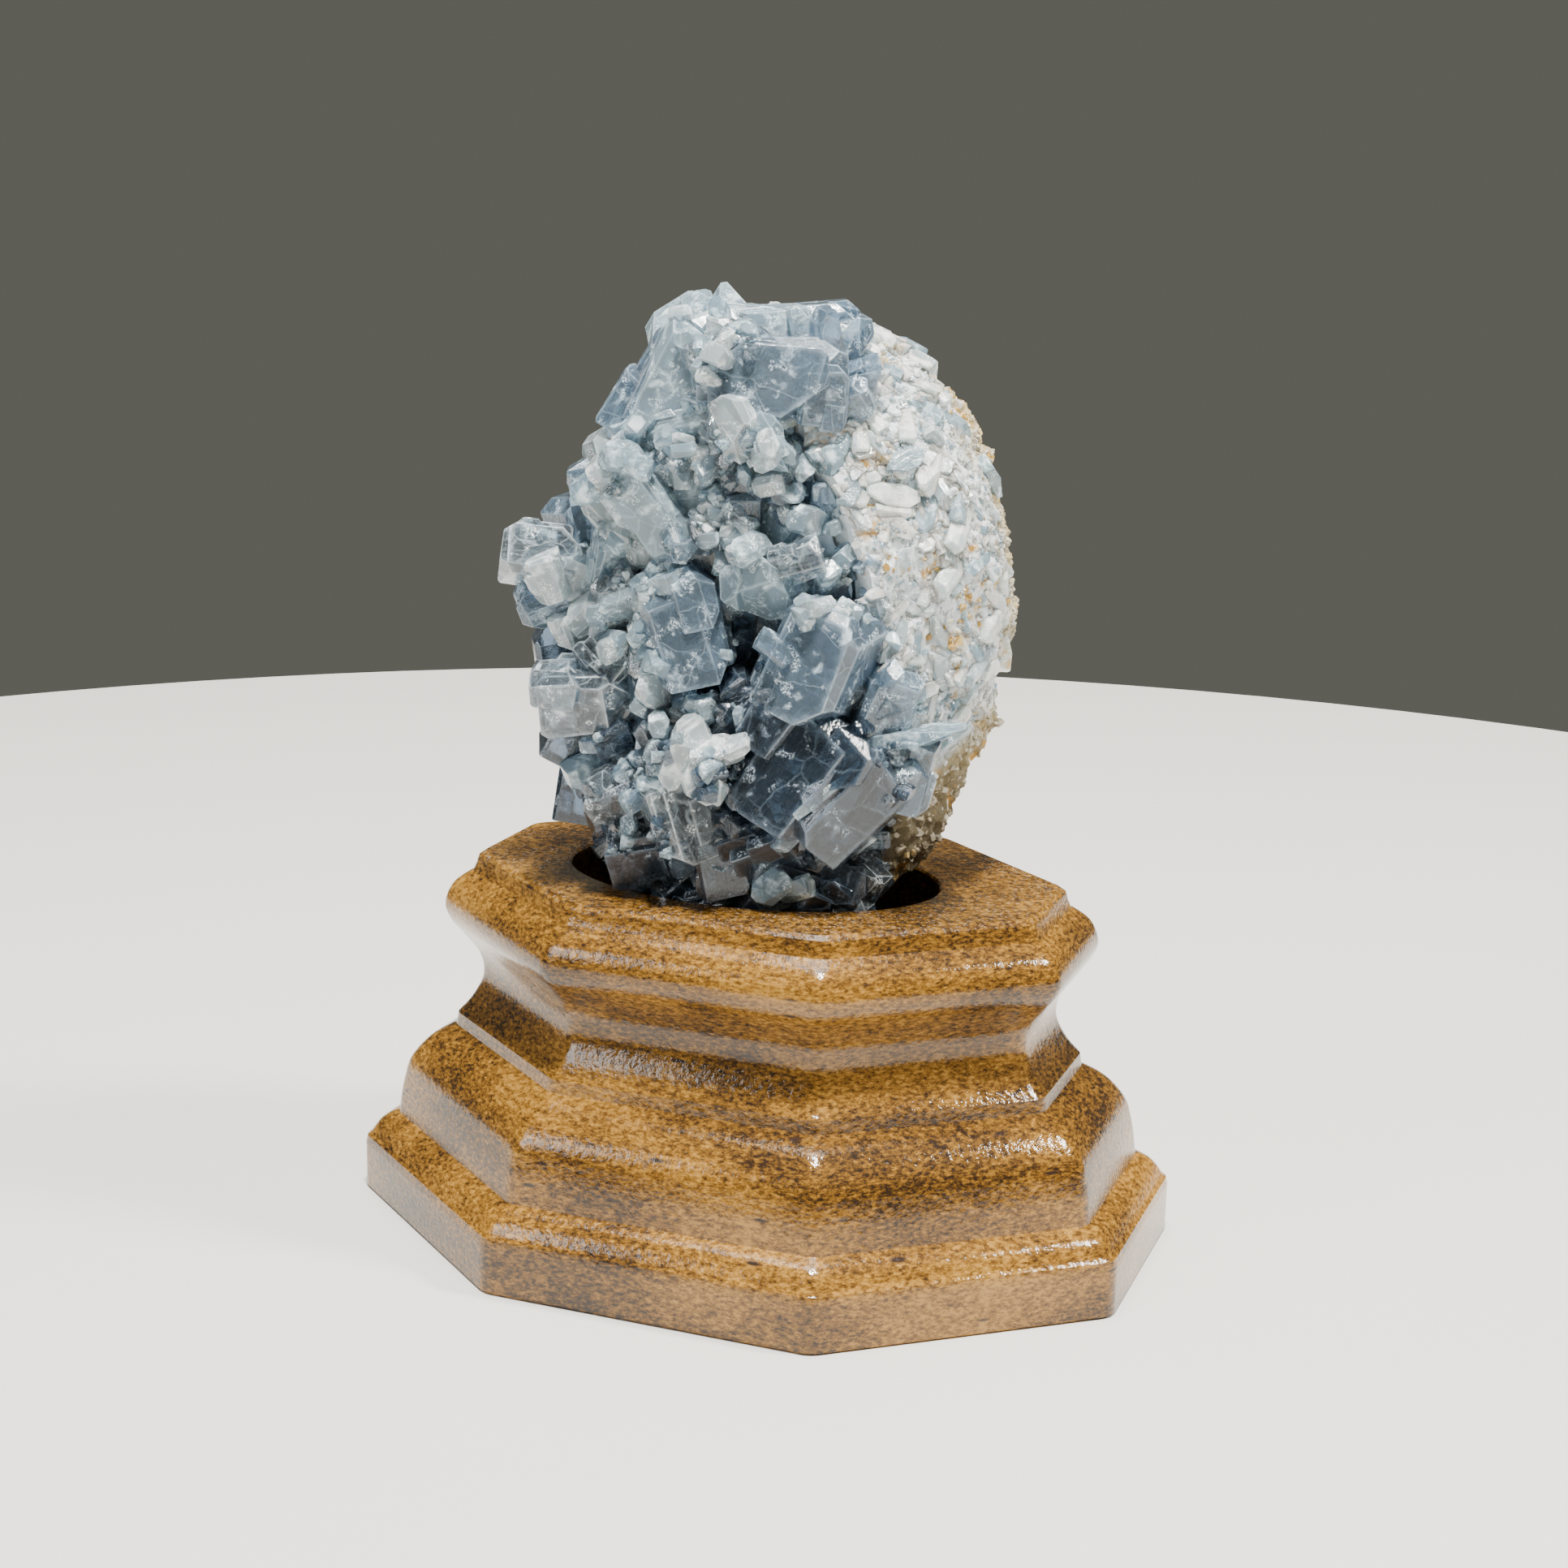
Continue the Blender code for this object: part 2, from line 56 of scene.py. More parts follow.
GAP = 0.3                            # room between pieces that touch, mm
IMAGE_SIDE = 1932.0                  # the photograph's side, pixels
SPECIMEN_TURN = math.radians(20.5)   # how far the specimen is turned on its stand
STAND_TOP = 54.3
RECESS_CENTRE = (-1.5, -2.0)
RECESS_HALF = (28.5, 18.5)
RECESS_FLOOR = 42.0


def deselect_everything() -> None:
    """Leave edit mode and deselect all objects."""
    if bpy.context.object and bpy.context.object.mode != "OBJECT":
        bpy.ops.object.mode_set(mode="OBJECT")
    bpy.ops.object.select_all(action="DESELECT")


def linear(code: str) -> tuple[float, float, float, float]:
    """Turn an sRGB hex colour into linear light.

    Args:
        code: Colour such as "#a0b0c0".

    Returns:
        Linear red, green, blue and an alpha of one.
    """
    values = [int(code[start:start + 2], 16) / 255 for start in (1, 3, 5)]
    parts = [v / 12.92 if v <= 0.04045 else ((v + 0.055) / 1.055) ** 2.4 for v in values]
    return (parts[0], parts[1], parts[2], 1.0)


class Nodes:
    """The node tree of one material, built step by step."""

    def __init__(self, name: str) -> None:
        """Start a material.

        Args:
            name: The real material or finish that it stands for.
        """
        self.made = bpy.data.materials.new(name)
        self.made.use_nodes = True
        self.tree = self.made.node_tree
        self.shader = self.tree.nodes["Principled BSDF"]

    def plug(self, node: bpy.types.Node, inputs: dict) -> bpy.types.Node:
        """Set a node's inputs, or link them.

        Args:
            node: The node.
            inputs: Input name or number to a value, or to an output socket to link.

        Returns:
            The node.
        """
        for name, value in inputs.items():
            if isinstance(value, bpy.types.NodeSocket):
                self.tree.links.new(value, node.inputs[name])
            else:
                node.inputs[name].default_value = value
        return node

    def add(self, kind: str, inputs: dict, **settings: str) -> bpy.types.Node:
        """Add a node.

        Args:
            kind: Blender's name of the node type, after "ShaderNode".
            inputs: As in plug.
            settings: Attributes to set on the node.

        Returns:
            The new node.
        """
        node = self.tree.nodes.new("ShaderNode" + kind)
        for name, value in settings.items():
            setattr(node, name, value)
        return self.plug(node, inputs)

    def finish(self, inputs: dict) -> bpy.types.Material:
        """Set or link the Principled shader's inputs and return the material."""
        self.plug(self.shader, inputs)
        return self.made

    def place(self) -> bpy.types.NodeSocket:
        """Return the place in the object's own coordinates, in metres."""
        return self.add("TexCoord", {}).outputs["Object"]

    def upward(self, vector: bpy.types.NodeSocket) -> bpy.types.NodeSocket:
        """Return the Z part of a vector."""
        return self.add("SeparateXYZ", {0: vector}).outputs[2]

    def attribute(self, name: str, output: str = "Fac") -> bpy.types.NodeSocket:
        """Return one of the mesh's own attributes."""
        return self.add("Attribute", {}, attribute_name=name).outputs[output]

    def noise(self, vector: bpy.types.NodeSocket, scale: float, detail: float = 2.0,
              roughness: float = 0.5, distortion: float = 0.0) -> bpy.types.NodeSocket:
        """Return a noise pattern from 0 to 1."""
        return self.add("TexNoise", {
            "Vector": vector, "Scale": scale, "Detail": detail, "Roughness": roughness,
            "Distortion": distortion}).outputs["Fac"]

    def math(self, operation: str, *values) -> bpy.types.NodeSocket:
        """Return the result of one operation on numbers."""
        return self.add("Math", dict(enumerate(values)), operation=operation).outputs[0]

    def vector(self, operation: str, *values) -> bpy.types.NodeSocket:
        """Return the result of one operation on vectors."""
        return self.add("VectorMath", dict(enumerate(values)), operation=operation).outputs[0]

    def window(self, value: bpy.types.NodeSocket, low: float,
               high: float) -> bpy.types.NodeSocket:
        """Return 0 below low and 1 above high with an even S between, or the reverse."""
        return self.add("MapRange", {"Value": value, "From Min": low, "From Max": high},
                        interpolation_type="SMOOTHSTEP").outputs[0]

    def scaled(self, value: bpy.types.NodeSocket, low: float, high: float,
               start: float = 0.0, end: float = 1.0) -> bpy.types.NodeSocket:
        """Return a value scaled from low..high to start..end, and kept within it."""
        return self.add("MapRange", {
            "Value": value, "From Min": low, "From Max": high, "To Min": start,
            "To Max": end}).outputs[0]

    def mix(self, share: bpy.types.NodeSocket, *pair) -> bpy.types.NodeSocket:
        """Mix two colours, each a hex colour or a socket."""
        first, second = (linear(part) if isinstance(part, str) else part for part in pair)
        return self.add("Mix", {"Factor": share, "A": first, "B": second},
                        data_type="RGBA").outputs["Result"]

    def ramp(self, factor: bpy.types.NodeSocket,
             *stops: tuple[float, str]) -> bpy.types.NodeSocket:
        """Return a colour along stops, each a place and its hex colour."""
        node = self.add("ValToRGB", {"Fac": factor})
        elements = node.color_ramp.elements
        while len(elements) < len(stops):
            elements.new(0.5)
        for element, (place, code) in zip(elements, stops):
            element.position = place
            element.color = linear(code)
        return node.outputs["Color"]

    def bump(self, height: bpy.types.NodeSocket, strength: float,
             depth_mm: float) -> bpy.types.NodeSocket:
        """Return the normal of a relief of the given depth."""
        return self.add("Bump", {"Strength": strength, "Distance": depth_mm * MM,
                                 "Height": height}).outputs[0]


def smooth_step(low: float, high: float, value: float) -> float:
    """Return 0 below low, 1 above high and an even S between them."""
    share = min(max((value - low) / (high - low), 0.0), 1.0)
    return share * share * (3 - 2 * share)


def specimen_matrix() -> Matrix:
    """Return the matrix from the specimen's frame in mm to the object's in metres."""
    return Matrix.Rotation(SPECIMEN_TURN, 4, "Z") @ Matrix.Scale(MM, 4)


def flat_object(name: str, verts: np.ndarray, faces: list) -> bpy.types.Object:
    """Make an object with flat faces, at the origin, from points in metres.

    Args:
        name: Name of the piece.
        verts: Points, one row each.
        faces: Corner numbers of each face.

    Returns:
        The new object.
    """
    mesh = bpy.data.meshes.new(name)
    mesh.from_pydata(verts.tolist(), [], faces)
    mesh.validate()
    mesh.polygons.foreach_set("use_smooth", [False] * len(mesh.polygons))
    obj = bpy.data.objects.new(name, mesh)
    bpy.context.scene.collection.objects.link(obj)
    return obj


class Form(Enum):
    """How strongly a crystal's prism edges, ends and end sides are cut, and its wear."""

    BLOCK = (0.17, 0.25, 0.18, 0.012)
    POINT = (0.20, 0.44, 0.36, 0.010)
    BLADE = (0.10, 0.34, 0.12, 0.012)
    RHOMB = (0.30, 0.16, 0.10, 0.012)
    SHARD = (0.34, 0.38, 0.42, 0.006)
    WORN = (0.26, 0.30, 0.26, 0.075)


BLOCK, POINT, BLADE, RHOMB, SHARD, WORN = Form


class Clarity(Enum):
    """The looks that the crystals come in, by material slot."""

    CLEAR = 0
    BLUE = 1
    MILKY = 2
    WHITE = 3
    # A darker copy of the blue, as painted shade
    SMOKY = 4
    SUGARY = 5
    RIND = 6
    OCHRE = 7


CLEAR, BLUE, MILKY, WHITE, SMOKY, SUGARY, RIND, OCHRE = Clarity


@dataclass(frozen=True)
class CelestiteFinish:
    """Natural celestite: a glassy sulphate, IOR 1.62, pale blue, with white veils.

    Its cleavage faces shine, its growth faces are etched and finely striated,
    its edges are rubbed pale and carry a painted highlight, sugary grains sit
    on it in patches, and healed cracks inside it scatter light as white veils
    and lines.
    """

    name: str
    body: str
    veil: str
    transmission: float
    rough_low: float
    rough_high: float
    veil_share: float
    frost_share: float
    # share of pale edges: rubbed frost, and painted highlight
    edge_frost_and_highlight: float
    absorb: str
    density: float
    stain: float = 0.0
    glow: float = 0.0
    glow_mm: float = 0.4
    veil_mm: float = 3.2
    patch_mm: float = 2.8
    grain_mm: float = 0.30
    crack_mm: float = 8.5
    striation_mm: float = 0.35
    bend: float = 0.4

    def whiteness(self, nodes: Nodes, local: bpy.types.NodeSocket) -> tuple:
        """Build the share of white scatter over the surface, and of painted edge highlight.

        Args:
            nodes: The material's nodes.
            local: Coordinates in the crystal, in mm.

        Returns:
            The share, and the height of the sugary grains.
        """
        veils = nodes.noise(local, 1 / self.veil_mm, 4.0, 0.62, self.bend)
        low = 0.62 - 0.35 * self.veil_share
        veil = nodes.window(veils, low, low + 0.20)
        patches = nodes.noise(local, 1 / self.patch_mm, 2.0, 0.6, self.bend)
        low = 0.66 - 0.26 * self.frost_share
        patch = nodes.window(patches, low, low + 0.10)
        grains = nodes.noise(local, 1 / self.grain_mm, 2.0, 0.7, self.bend)
        frost = nodes.math("MULTIPLY", patch, nodes.window(grains, 0.46, 0.60))
        bent = nodes.add("TexNoise", {"Vector": local, "Scale": 0.3}).outputs["Color"]
        shifted = nodes.vector("MULTIPLY_ADD", bent, (1.6, 1.6, 1.6), local)
        cells = nodes.add("TexVoronoi", {"Vector": shifted, "Scale": 1 / self.crack_mm},
                          feature="DISTANCE_TO_EDGE").outputs["Distance"]
        crack = nodes.math("MULTIPLY", nodes.window(cells, 0.016, 0.002), 0.25)
        # A pale band along each edge: partly frost, partly painted highlight.
        ragged = nodes.math("MULTIPLY_ADD", veils, 0.5, nodes.attribute("rim"))
        border = nodes.math("MULTIPLY", nodes.window(ragged, 1.06, 1.34),
                            self.edge_frost_and_highlight * 0.7)
        chips = nodes.window(patches, 0.36, 0.56)
        rubbed = nodes.math("MULTIPLY", nodes.attribute("worn"), chips)
        white = nodes.math("MULTIPLY", rubbed, self.edge_frost_and_highlight)
        for other in (border, frost, crack, veil):
            white = nodes.math("MAXIMUM", white, other)
        return white, frost

    def material(self) -> bpy.types.Material:
        """Build the material."""
        nodes = Nodes(self.name)
        local = nodes.attribute("crystal_mm", "Vector")
        white, frost = self.whiteness(nodes, local)
        tint = nodes.mix(nodes.math("MULTIPLY", nodes.attribute("tone"), 0.40),
                         self.body, self.veil)
        colour = nodes.mix(white, tint, self.veil)
        if self.stain:
            blot = nodes.noise(nodes.place(), 110.0, 5.0, 0.6)
            colour = nodes.mix(nodes.window(blot, 0.60 - 0.1 * self.stain, 0.68),
                               colour, "#cdae6c")
        stretch = nodes.vector("MULTIPLY", local, (1.0, 1.0, 0.12))
        lines = nodes.noise(stretch, 1 / self.striation_mm)
        pits = nodes.noise(local, 0.9, 4.0, 0.7)
        height = nodes.math("MULTIPLY_ADD", frost, 0.9, nodes.math("ADD", lines, pits))
        fog = nodes.add("VolumeAbsorption", {
            "Color": linear(self.absorb), "Density": self.density})
        nodes.plug(nodes.tree.nodes["Material Output"], {"Volume": fog.outputs[0]})
        return nodes.finish({
            "Base Color": colour,
            "Roughness": nodes.scaled(white, 0.0, 1.0, self.rough_low, self.rough_high),
            "Transmission Weight": nodes.scaled(
                white, 0.0, 1.0, self.transmission, self.transmission * 0.22),
            "Normal": nodes.bump(height, 0.25, 0.25),
            "IOR": 1.62,
            "Subsurface Weight": self.glow,
            "Subsurface Radius": (0.6, 0.8, 1.0),
            "Subsurface Scale": self.glow_mm * MM,
        })


@dataclass(frozen=True)
class MassFinish:
    """The crystals' common foot: cloudy celestite, with painted shade low down and painted light
    up high.
    """

    # From top to bottom: pale, middle and deep, as painted light and shade by height
    pale: str = "#d2e0ea"
    middle: str = "#92a6b8"
    deep: str = "#344250"

    def material(self) -> bpy.types.Material:
        """Build the material."""
        nodes = Nodes("cloudy_celestite")
        place = nodes.place()
        clouds = nodes.noise(place, 120.0, 5.0, 0.65)
        # Painted shade and light: the colour darkens towards the bottom.
        level = nodes.scaled(nodes.upward(place), 0.045, 0.145)
        colour = nodes.ramp(nodes.math("MULTIPLY_ADD", clouds, 0.5, level),
                            (0.35, self.deep), (0.60, self.middle), (0.88, self.pale))
        return nodes.finish({
            "Base Color": colour, "Roughness": 0.4, "Normal": nodes.bump(clouds, 0.6, 0.4)})


@dataclass(frozen=True)
class FibreboardFinish:
    """Medium-density fibreboard under glossy clear varnish.

    Fibres show as fine tan and brown flecks, drawn out along the board, with a
    few black specks, and the varnish gives a slightly wavy, wet shine. Dust lies
    on the stand's top.
    """

    pale: str = "#a67a34"
    light: str = "#7c5517"
    middle: str = "#56380a"
    dark: str = "#221303"
    speck: str = "#2a1a10"
    dust: str = "#cfcac0"
    fibre_mm: float = 0.45
    speck_mm: float = 0.9
    dusty_from: float = 0.0535

    def material(self) -> bpy.types.Material:
        """Build the material."""
        nodes = Nodes("varnished_fibreboard")
        place = nodes.place()
        specked = nodes.mix(self.specks(nodes, place), self.fibres(nodes, place), self.speck)
        waves = nodes.bump(nodes.noise(place, 1100.0, 3.0, 0.6), 0.8, 0.12)
        return nodes.finish({
            "Base Color": nodes.mix(self.fallen_dust(nodes, place), specked, self.dust),
            "Roughness": 0.6,
            "Specular IOR Level": 0.1,
            "Coat Weight": 1.0,
            "Coat Roughness": 0.07,
            "Normal": waves,
            "Coat Normal": waves,
        })

    def fibres(self, nodes: Nodes, place: bpy.types.NodeSocket) -> bpy.types.NodeSocket:
        """Return the colour of the pressed fibres."""
        flat = nodes.vector("MULTIPLY", place, (0.45, 0.45, 1.0))
        fibres = nodes.noise(flat, 1 / (self.fibre_mm * MM), 5.0, 0.75)
        clouds = nodes.math("MULTIPLY", nodes.noise(flat, 70.0, 4.0, 0.6), 0.45)
        return nodes.ramp(nodes.math("MULTIPLY_ADD", fibres, 0.75, clouds),
                          (0.50, self.dark), (0.57, self.middle), (0.64, self.light),
                          (0.73, self.pale))

    def specks(self, nodes: Nodes, place: bpy.types.NodeSocket) -> bpy.types.NodeSocket:
        """Return the share of black specks."""
        thin = nodes.vector("MULTIPLY", place, (0.3, 0.3, 1.3))
        cells = nodes.add("TexVoronoi", {"Vector": thin, "Scale": 0.34 / (self.speck_mm * MM)},
                          feature="F1")
        near = nodes.scaled(cells.outputs["Distance"], 0.17, 0.09)
        chosen = nodes.add("SeparateColor", {0: cells.outputs["Color"]}).outputs[0]
        return nodes.math("MULTIPLY", near, nodes.math("GREATER_THAN", chosen, 0.70))

    def fallen_dust(self, nodes: Nodes, place: bpy.types.NodeSocket) -> bpy.types.NodeSocket:
        """Return the share of dust, on the faces of the top that look up."""
        normal = nodes.add("NewGeometry", {}).outputs["Normal"]
        high = nodes.math("GREATER_THAN", nodes.upward(place), self.dusty_from)
        top = nodes.math("MULTIPLY", high, nodes.upward(normal))
        grain = nodes.scaled(nodes.noise(place, 1900.0, 3.0, 0.8), 0.57, 0.70)
        patch = nodes.scaled(nodes.noise(place, 60.0, 3.0), 0.36, 0.62, 0.25, 0.95)
        return nodes.math("MULTIPLY", nodes.math("MULTIPLY", grain, patch), top)


@dataclass(frozen=True)
class RockFinish:
    """Wall rock: sugary white celestite in front, ochre marl skin behind.

    The broken wall sparkles dully, and iron-stained clay sits in its pits.
    Painted shade darkens it towards the bottom.
    """

    inner: str = "#e9f0f2"
    skin: str = "#a7976c"
    shade: str = "#71664a"
    # colour of the painted shade towards the bottom
    shaded_low_skin: str = "#4e4736"
    ochre: str = "#c8963a"

    def material(self) -> bpy.types.Material:
        """Build the material."""
        nodes = Nodes("wall_rock")
        place = nodes.place()
        grains = nodes.noise(place, 900.0, 6.0, 0.75)
        lumps = nodes.noise(place, 130.0, 5.0, 0.65)
        inner = nodes.ramp(grains, (0.30, "#cdd6dc"), (0.46, "#e0e6ea"), (0.60, self.inner),
                           (0.75, "#fdfdfb"))
        skin = nodes.ramp(grains, (0.30, self.shade), (0.48, self.skin), (0.64, "#bfb189"),
                          (0.78, "#ddd2b2"))
        base = nodes.mix(nodes.attribute("tone"), inner, skin)
        # Painted shade: the rock darkens towards the bottom.
        low = nodes.scaled(nodes.upward(place), 0.086, 0.066, 0.0, 0.80)
        shaded_base = nodes.mix(low, base, self.shaded_low_skin)
        colour = nodes.mix(nodes.scaled(lumps, 0.56, 0.66), shaded_base, self.ochre)
        return nodes.finish({
            "Base Color": colour, "Roughness": 0.78, "Normal": nodes.bump(grains, 0.7, 0.4)})


@dataclass(frozen=True)
class FloorFinish:
    """Matt white painted board."""

    colour: str = "#dcdad5"

    def material(self) -> bpy.types.Material:
        """Build the material."""
        return Nodes("matt_white_board").finish({
            "Base Color": linear(self.colour), "Roughness": 0.55})


CELESTITE_FINISHES = (
    CelestiteFinish("clear_celestite", "#dfeef8", "#eef8fb", 0.96, 0.02, 0.30, 0.14, 0.32, 0.6,
                    "#a9c6e6", 18.0),
    CelestiteFinish("blue_celestite", "#a8c3da", "#d7e8f2", 0.86, 0.04, 0.34, 0.20, 0.40, 0.5,
                    "#a3b9d2", 28.0, glow=0.28),
    CelestiteFinish("milky_celestite", "#bedbeb", "#e4f3f8", 0.74, 0.04, 0.24, 0.36, 0.46, 0.6,
                    "#aecae8", 20.0, glow=0.28),
    CelestiteFinish("white_celestite", "#dff0f6", "#f3fbfd", 0.68, 0.04, 0.28, 0.40, 0.60, 0.7,
                    "#c8dcee", 14.0, glow=0.28),
    # Darker copy of the blue, as painted shade.
    CelestiteFinish("smoky_celestite", "#6e879f", "#b3c2d0", 0.93, 0.04, 0.30, 0.08, 0.24, 0.45,
                    "#6485ad", 70.0),
    CelestiteFinish("sugary_celestite", "#dbedf0", "#f2fbfb", 0.38, 0.07, 0.34, 0.56, 0.76, 0.6,
                    "#d6e4f0", 10.0, stain=0.35, glow=0.8, glow_mm=1.6),
    CelestiteFinish("rind_grains", "#968c72", "#d2cbb8", 0.10, 0.45, 0.70, 0.45, 0.70, 0.3,
                    "#d6c8a0", 10.0, stain=0.6),
    CelestiteFinish("ochre_grains", "#bd8f38", "#e2c98d", 0.25, 0.30, 0.60, 0.40, 0.50, 0.3,
                    "#e0c890", 10.0),
)


@dataclass
class Nodule:
    """The egg-shaped nodule that the cluster broke from."""

    middle: float = 88.0
    up: float = 49.0
    down: float = 88.0 - RECESS_FLOOR - GAP
    half_width: float = 31.4
    half_depth: float = 24.0
    lean: float = 5.5
    break_point: Vector = field(default_factory=lambda: Vector((5.0, -17.0, 119.0)))
    break_normal: Vector = field(
        default_factory=lambda: Vector((0.76, 0.61, 0.19)).normalized())
    # Each hollow of the front: right, up, depth and radius
    hollows: tuple = ((-4.0, 98.0, 6.0, 11.0), (-1.0, 86.5, 9.0, 5.5))
    # Where the skin comes round under the broken wall: right, up and rise
    skin_border: tuple = (17.7, 68.0, 0.93)

    def point(self, direction: Vector, shrink: float) -> Vector:
        """Return the surface point in a direction from the middle.

        Args:
            direction: Unit direction.
            shrink: How far under the skin, in mm.

        Returns:
            The point in the specimen's frame.
        """
        rise = self.up if direction.z > 0 else self.down
        z = self.middle + direction.z * (rise - shrink)
        x = direction.x * (self.half_width - shrink) + self.lean * smooth_step(55, 115, z)
        return Vector((x, direction.y * (self.half_depth - shrink), z))

    def side(self, point: Vector) -> float:
        """Return how far a point lies into the wall rock, below zero in the crystals."""
        return (point - self.break_point).dot(self.break_normal)

    def rind(self, point: Vector) -> float:
        """Return how far a point belongs to the beige skin of the back, 0 to 1."""
        ragged = 4.0 * noise.noise(point / 5.0)
        around = smooth_step(2.0, 9.0, point.y + ragged)
        right, up, rise = self.skin_border
        border = up + rise * (point.x - right)
        under = smooth_step(-2.0, 2.5, border - point.z + 0.6 * ragged)
        return max(around, under, smooth_step(21.0, 29.0, self.side(point) + ragged))

    def dent(self, point: Vector) -> float:
        """Return how far the hollows press the front in at a point."""
        total = 0.0
        for right, up, depth, radius in self.hollows:
            away = ((point.x - right) ** 2 + (point.z - up) ** 2) / (2 * radius ** 2)
            total += depth * math.exp(-away)
        return total


class CrystalForms:
    """A small stock of crystal shapes, each modelled once and copied."""

    variants: int = 7
    prism_angle: float = math.radians(38.0)
    dome_angle: float = math.radians(51.0)
    cut_spread: tuple = (0.45, 1.5)      # a cut's depth, as shares of the form's own
    foot_share: float = 0.7              # how much less the lower end is cut
    wander: float = 0.20                 # how far a cut's direction strays
    shard_wander: float = 0.42
    facet_area: float = 0.02             # faces under this are worn edges
    plain_rim: float = 0.6               # nearness to an edge on unworn crystals

    def __init__(self) -> None:
        """Model every form a few times over, with worn edges and plain."""
        self.stock: dict[tuple, list] = {}
        for form in Form:
            for fine in (True, False):
                dice = random.Random(form.name)
                self.stock[form, fine] = [
                    self.model(form, fine, dice) for _ in range(self.variants)]
        LOG.info("crystal forms modelled: %d", len(Form) * self.variants)

    def model(self, form: Form, fine: bool, dice: random.Random) -> tuple:
        """Cut one unit crystal from a cube.

        Args:
            form: How strongly it is cut.
            fine: Whether its edges are worn and its facets have a middle point.
            dice: Seeded source of small differences.

        Returns:
            Its points, within half a unit of the origin, each point's nearness
            to an edge, its faces, and whether each face is a worn edge.
        """
        deselect_everything()
        bpy.ops.mesh.primitive_cube_add(size=1.0)
        obj = bpy.context.object
        bpy.ops.object.mode_set(mode="EDIT")
        prism, dome, side, wear = form.value
        across, along = math.cos(self.prism_angle), math.sin(self.prism_angle)
        slope, rise = math.cos(self.dome_angle), math.sin(self.dome_angle)
        cuts = [((x * across, y * along, 0), prism) for x in (-1, 1) for y in (-1, 1)]
        cuts += [((x * slope, 0, rise), dome) for x in (-1, 1)]
        cuts += [((0, y * slope, rise), side) for y in (-1, 1)]
        cuts += [((x * slope, 0, -rise), dome * self.foot_share) for x in (-1, 1)]
        loose = self.shard_wander if form is SHARD else self.wander
        for normal, share in cuts:
            corner = 0.5 * sum(abs(part) for part in normal)
            reach = corner * (1 - share * dice.uniform(*self.cut_spread))
            jitter = Vector([part + dice.uniform(-loose, loose) for part in normal]).normalized()
            bpy.ops.mesh.select_all(action="SELECT")
            bpy.ops.mesh.bisect(plane_co=jitter * reach, plane_no=jitter, use_fill=True,
                                clear_outer=True, threshold=1e-5)
        bpy.ops.mesh.select_all(action="SELECT")
        bpy.ops.mesh.remove_doubles(threshold=0.002)
        if fine:
            bpy.ops.mesh.bevel(offset=wear, segments=3 if form is WORN else 1,
                               affect="EDGES", clamp_overlap=True)
        bpy.ops.object.mode_set(mode="OBJECT")
        bm = bmesh.new()
        bm.from_mesh(obj.data)
        bmesh.ops.recalc_face_normals(bm, faces=bm.faces)
        edge_layer = bm.faces.layers.int.new("worn")
        rim_layer = bm.verts.layers.float.new("rim")
        for vert in bm.verts:
            vert[rim_layer] = 1.0 if fine else self.plain_rim
        for face in bm.faces:
            face[edge_layer] = int(fine and face.calc_area() < self.facet_area)
        if fine:
            broad = [face for face in bm.faces if not face[edge_layer]]
            for vert in bmesh.ops.poke(bm, faces=broad)["verts"]:
                vert[rim_layer] = 0.0
        bm.verts.index_update()
        points = np.array([vert.co[:] for vert in bm.verts])
        rims = np.array([vert[rim_layer] for vert in bm.verts])
        faces = [[vert.index for vert in face.verts] for face in bm.faces]
        worn = [face[edge_layer] for face in bm.faces]
        bm.free()
        bpy.data.objects.remove(obj, do_unlink=True)
        return points, rims, faces, worn


